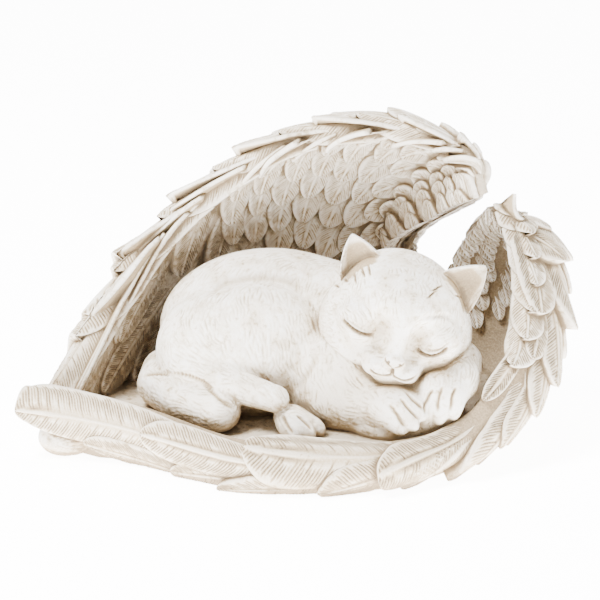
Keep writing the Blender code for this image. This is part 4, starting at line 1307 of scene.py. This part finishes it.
# %% Ivory cast stone with a wiped brown wash, and shade painted into its hollows
# From bare stone to a carved line full of stain, or the deepest painted shade: share of wash and shade,
# colour
WASH_AND_SHADE_STEPS = ((0.0, "F7F3EC"), (0.22, "E6DCCC"), (0.55, "B5A182"), (1.0, "54432F"))
# Painted shade and wash in hollows, clouds and specks add up to this at most. Only a carved line goes
# darker
MOST_IN_HOLLOWS = 0.80
GRAIN_MM = 0.9
MOTTLE_MM = 9
PIT_MM = 2.6
NARROW_REACH = 0.004
WIDE_REACH = 0.030


def share_between(tree, socket, low, high, top=1.0, bottom=0.0):
    """A share that goes from bottom to top while the socket's value goes from low to high."""
    spread = [("From Min", low), ("From Max", high), ("To Min", bottom), ("To Max", top)]
    return add_node(tree, "ShaderNodeMapRange", spread, [("Value", socket)]).outputs["Result"]


def combined(tree, operation, one, other):
    node = add_node(tree, "ShaderNodeMath", [("operation", operation), ("use_clamp", True)])
    for place, value in enumerate((one, other)):
        if isinstance(value, float):
            node.inputs[place].default_value = value
        else:
            tree.links.new(value, node.inputs[place])
    return node.outputs["Value"]


def hollow_share(tree, reach, low, high, top):
    """How enclosed a place is by what stands within reach of it, as a share of painted shade and wash.
    """
    node = add_node(tree, "ShaderNodeAmbientOcclusion", [("samples", 10), ("Distance", reach)])
    return share_between(tree, node.outputs["AO"], low, high, top)


def cast_stone(name):
    """Matt resin stone: no gloss, a fine grain from the mould, soft uneven staining, and painted shade
    in its hollows.
    """
    material = bpy.data.materials.new(name)
    material.use_nodes = True
    tree = material.node_tree
    shader = tree.nodes["Principled BSDF"]
    shader.inputs["Roughness"].default_value = 0.72
    shader.inputs["IOR"].default_value = 1.5
    shader.inputs["Specular IOR Level"].default_value = 0.3
    place = add_node(tree, "ShaderNodeTexCoord").outputs["Object"]
    noises = []
    for size in (MOTTLE_MM, PIT_MM, GRAIN_MM):
        settings = [("Scale", 1000 / size), ("Detail", 4.0), ("Roughness", 0.6)]
        noise = add_node(tree, "ShaderNodeTexNoise", settings, [("Vector", place)])
        noises.append(noise.outputs["Fac"])
    mottle, pits, grain = noises
    # Each point's own share: brown wash in carved lines, and painted shade in a few hollows, undersides
    # and bare walls
    line = add_node(tree, "ShaderNodeAttribute", [("attribute_name", "wash_and_shade")]).outputs["Fac"]
    # Ambient occlusion paints shade: the narrow reach darkens gaps between feathers with wash and
    # painted shade, the wide reach darkens enclosed faces as painted shade
    narrow_wash_and_shade = hollow_share(tree, NARROW_REACH, 0.85, 0.35, 0.9)
    wide_painted_shade = hollow_share(tree, WIDE_REACH, 0.80, 0.10, 0.55)
    cloudy = share_between(tree, mottle, 0.42, 0.72, 0.36)
    speckled = share_between(tree, pits, 0.52, 0.72, 0.36)
    amount = combined(tree, "ADD", narrow_wash_and_shade, wide_painted_shade)
    amount = combined(tree, "ADD", amount, cloudy)
    amount = combined(tree, "ADD", amount, speckled)
    amount = combined(tree, "MINIMUM", amount, MOST_IN_HOLLOWS)
    line = combined(tree, "MULTIPLY", line, share_between(tree, grain, 0.25, 0.6, 1.0, 0.75))
    amount = combined(tree, "MAXIMUM", amount, line)
    ramp = add_node(tree, "ShaderNodeValToRGB", (), [("Fac", amount)])
    steps = ramp.color_ramp.elements
    while len(steps) < len(WASH_AND_SHADE_STEPS):
        steps.new(0.5)
    for step, (share, colour) in zip(steps, WASH_AND_SHADE_STEPS):
        step.position = share
        step.color = linear(colour)
    tree.links.new(ramp.outputs["Color"], shader.inputs["Base Color"])
    coarse = add_node(
        tree, "ShaderNodeBump", [("Strength", 0.5), ("Distance", 0.0012)], [("Height", pits)],
    )
    bump = add_node(
        tree, "ShaderNodeBump", [("Strength", 0.5), ("Distance", 0.0004)],
        [("Height", grain), ("Normal", coarse.outputs["Normal"])],
    )
    tree.links.new(bump.outputs["Normal"], shader.inputs["Normal"])
    return material


ivory_stone = cast_stone("ivory_cast_stone")
PIECES = (
    tall_inside, tall_primaries, tall_outside, low_outside, low_inside,
    kitten_body, kitten_head, nest_floor,
)
for piece in PIECES:
    piece.data.materials.clear()
    piece.data.materials.append(ivory_stone)
print("finish:", ivory_stone.name, "on", len(PIECES), "pieces")

# %% [markdown]
# ## The picture
# The camera stands about 18 degrees above level, far enough back that the wings don't bulge. A white
# floor and large soft lights give the even, nearly shadowless light of a catalogue picture.

# %% Camera
CAMERA_HEIGHT = math.radians(18)
CAMERA_DISTANCE = 1.28
VIEW_WIDTH = 0.282
AIM = Vector((0.00187, 0, 0.0662))
camera = placed("camera", bpy.data.cameras.new("camera"))
back = Vector((0, -math.cos(CAMERA_HEIGHT), math.sin(CAMERA_HEIGHT)))
camera.location = AIM + back * CAMERA_DISTANCE
camera.rotation_euler = (-back).to_track_quat("-Z", "Y").to_euler()
camera.data.sensor_width = 36
camera.data.lens = 36 * CAMERA_DISTANCE / VIEW_WIDTH
bpy.context.scene.camera = camera

# %% Floor and light
PAPER_GLOW = 11.0
SKY_STRENGTH = 0.62

bm = bmesh.new()
bmesh.ops.create_grid(bm, x_segments=1, y_segments=1, size=6)
floor = placed("floor", mesh_from(bm, "floor"))
white_paper = bpy.data.materials.new("white_paper")
white_paper.use_nodes = True
for name, value in (
    ("Base Color", (0.9, 0.9, 0.9, 1)), ("Roughness", 0.9),
    ("Emission Color", (1, 1, 1, 1)), ("Emission Strength", PAPER_GLOW),
):
    white_paper.node_tree.nodes["Principled BSDF"].inputs[name].default_value = value
floor.data.materials.append(white_paper)

world = bpy.data.worlds.new("soft_sky")
bpy.context.scene.world = world
world.use_nodes = True
world.node_tree.nodes["Background"].inputs["Color"].default_value = (1, 1, 1, 1)
world.node_tree.nodes["Background"].inputs["Strength"].default_value = SKY_STRENGTH


def soft_light(name, place, size, power):
    light = bpy.data.lights.new(name, "AREA")
    light.size = size
    light.energy = power
    obj = placed(name, light)
    obj.location = place
    obj.rotation_euler = (AIM - Vector(place)).to_track_quat("-Z", "Y").to_euler()


soft_light("key", (-0.6, -0.35, 1.3), 0.45, 62)
soft_light("top", (0.1, 0.3, 1.6), 0.7, 30)

# %% [markdown]
# ## The end
# The last cell imports json.

# %% Import json
import json
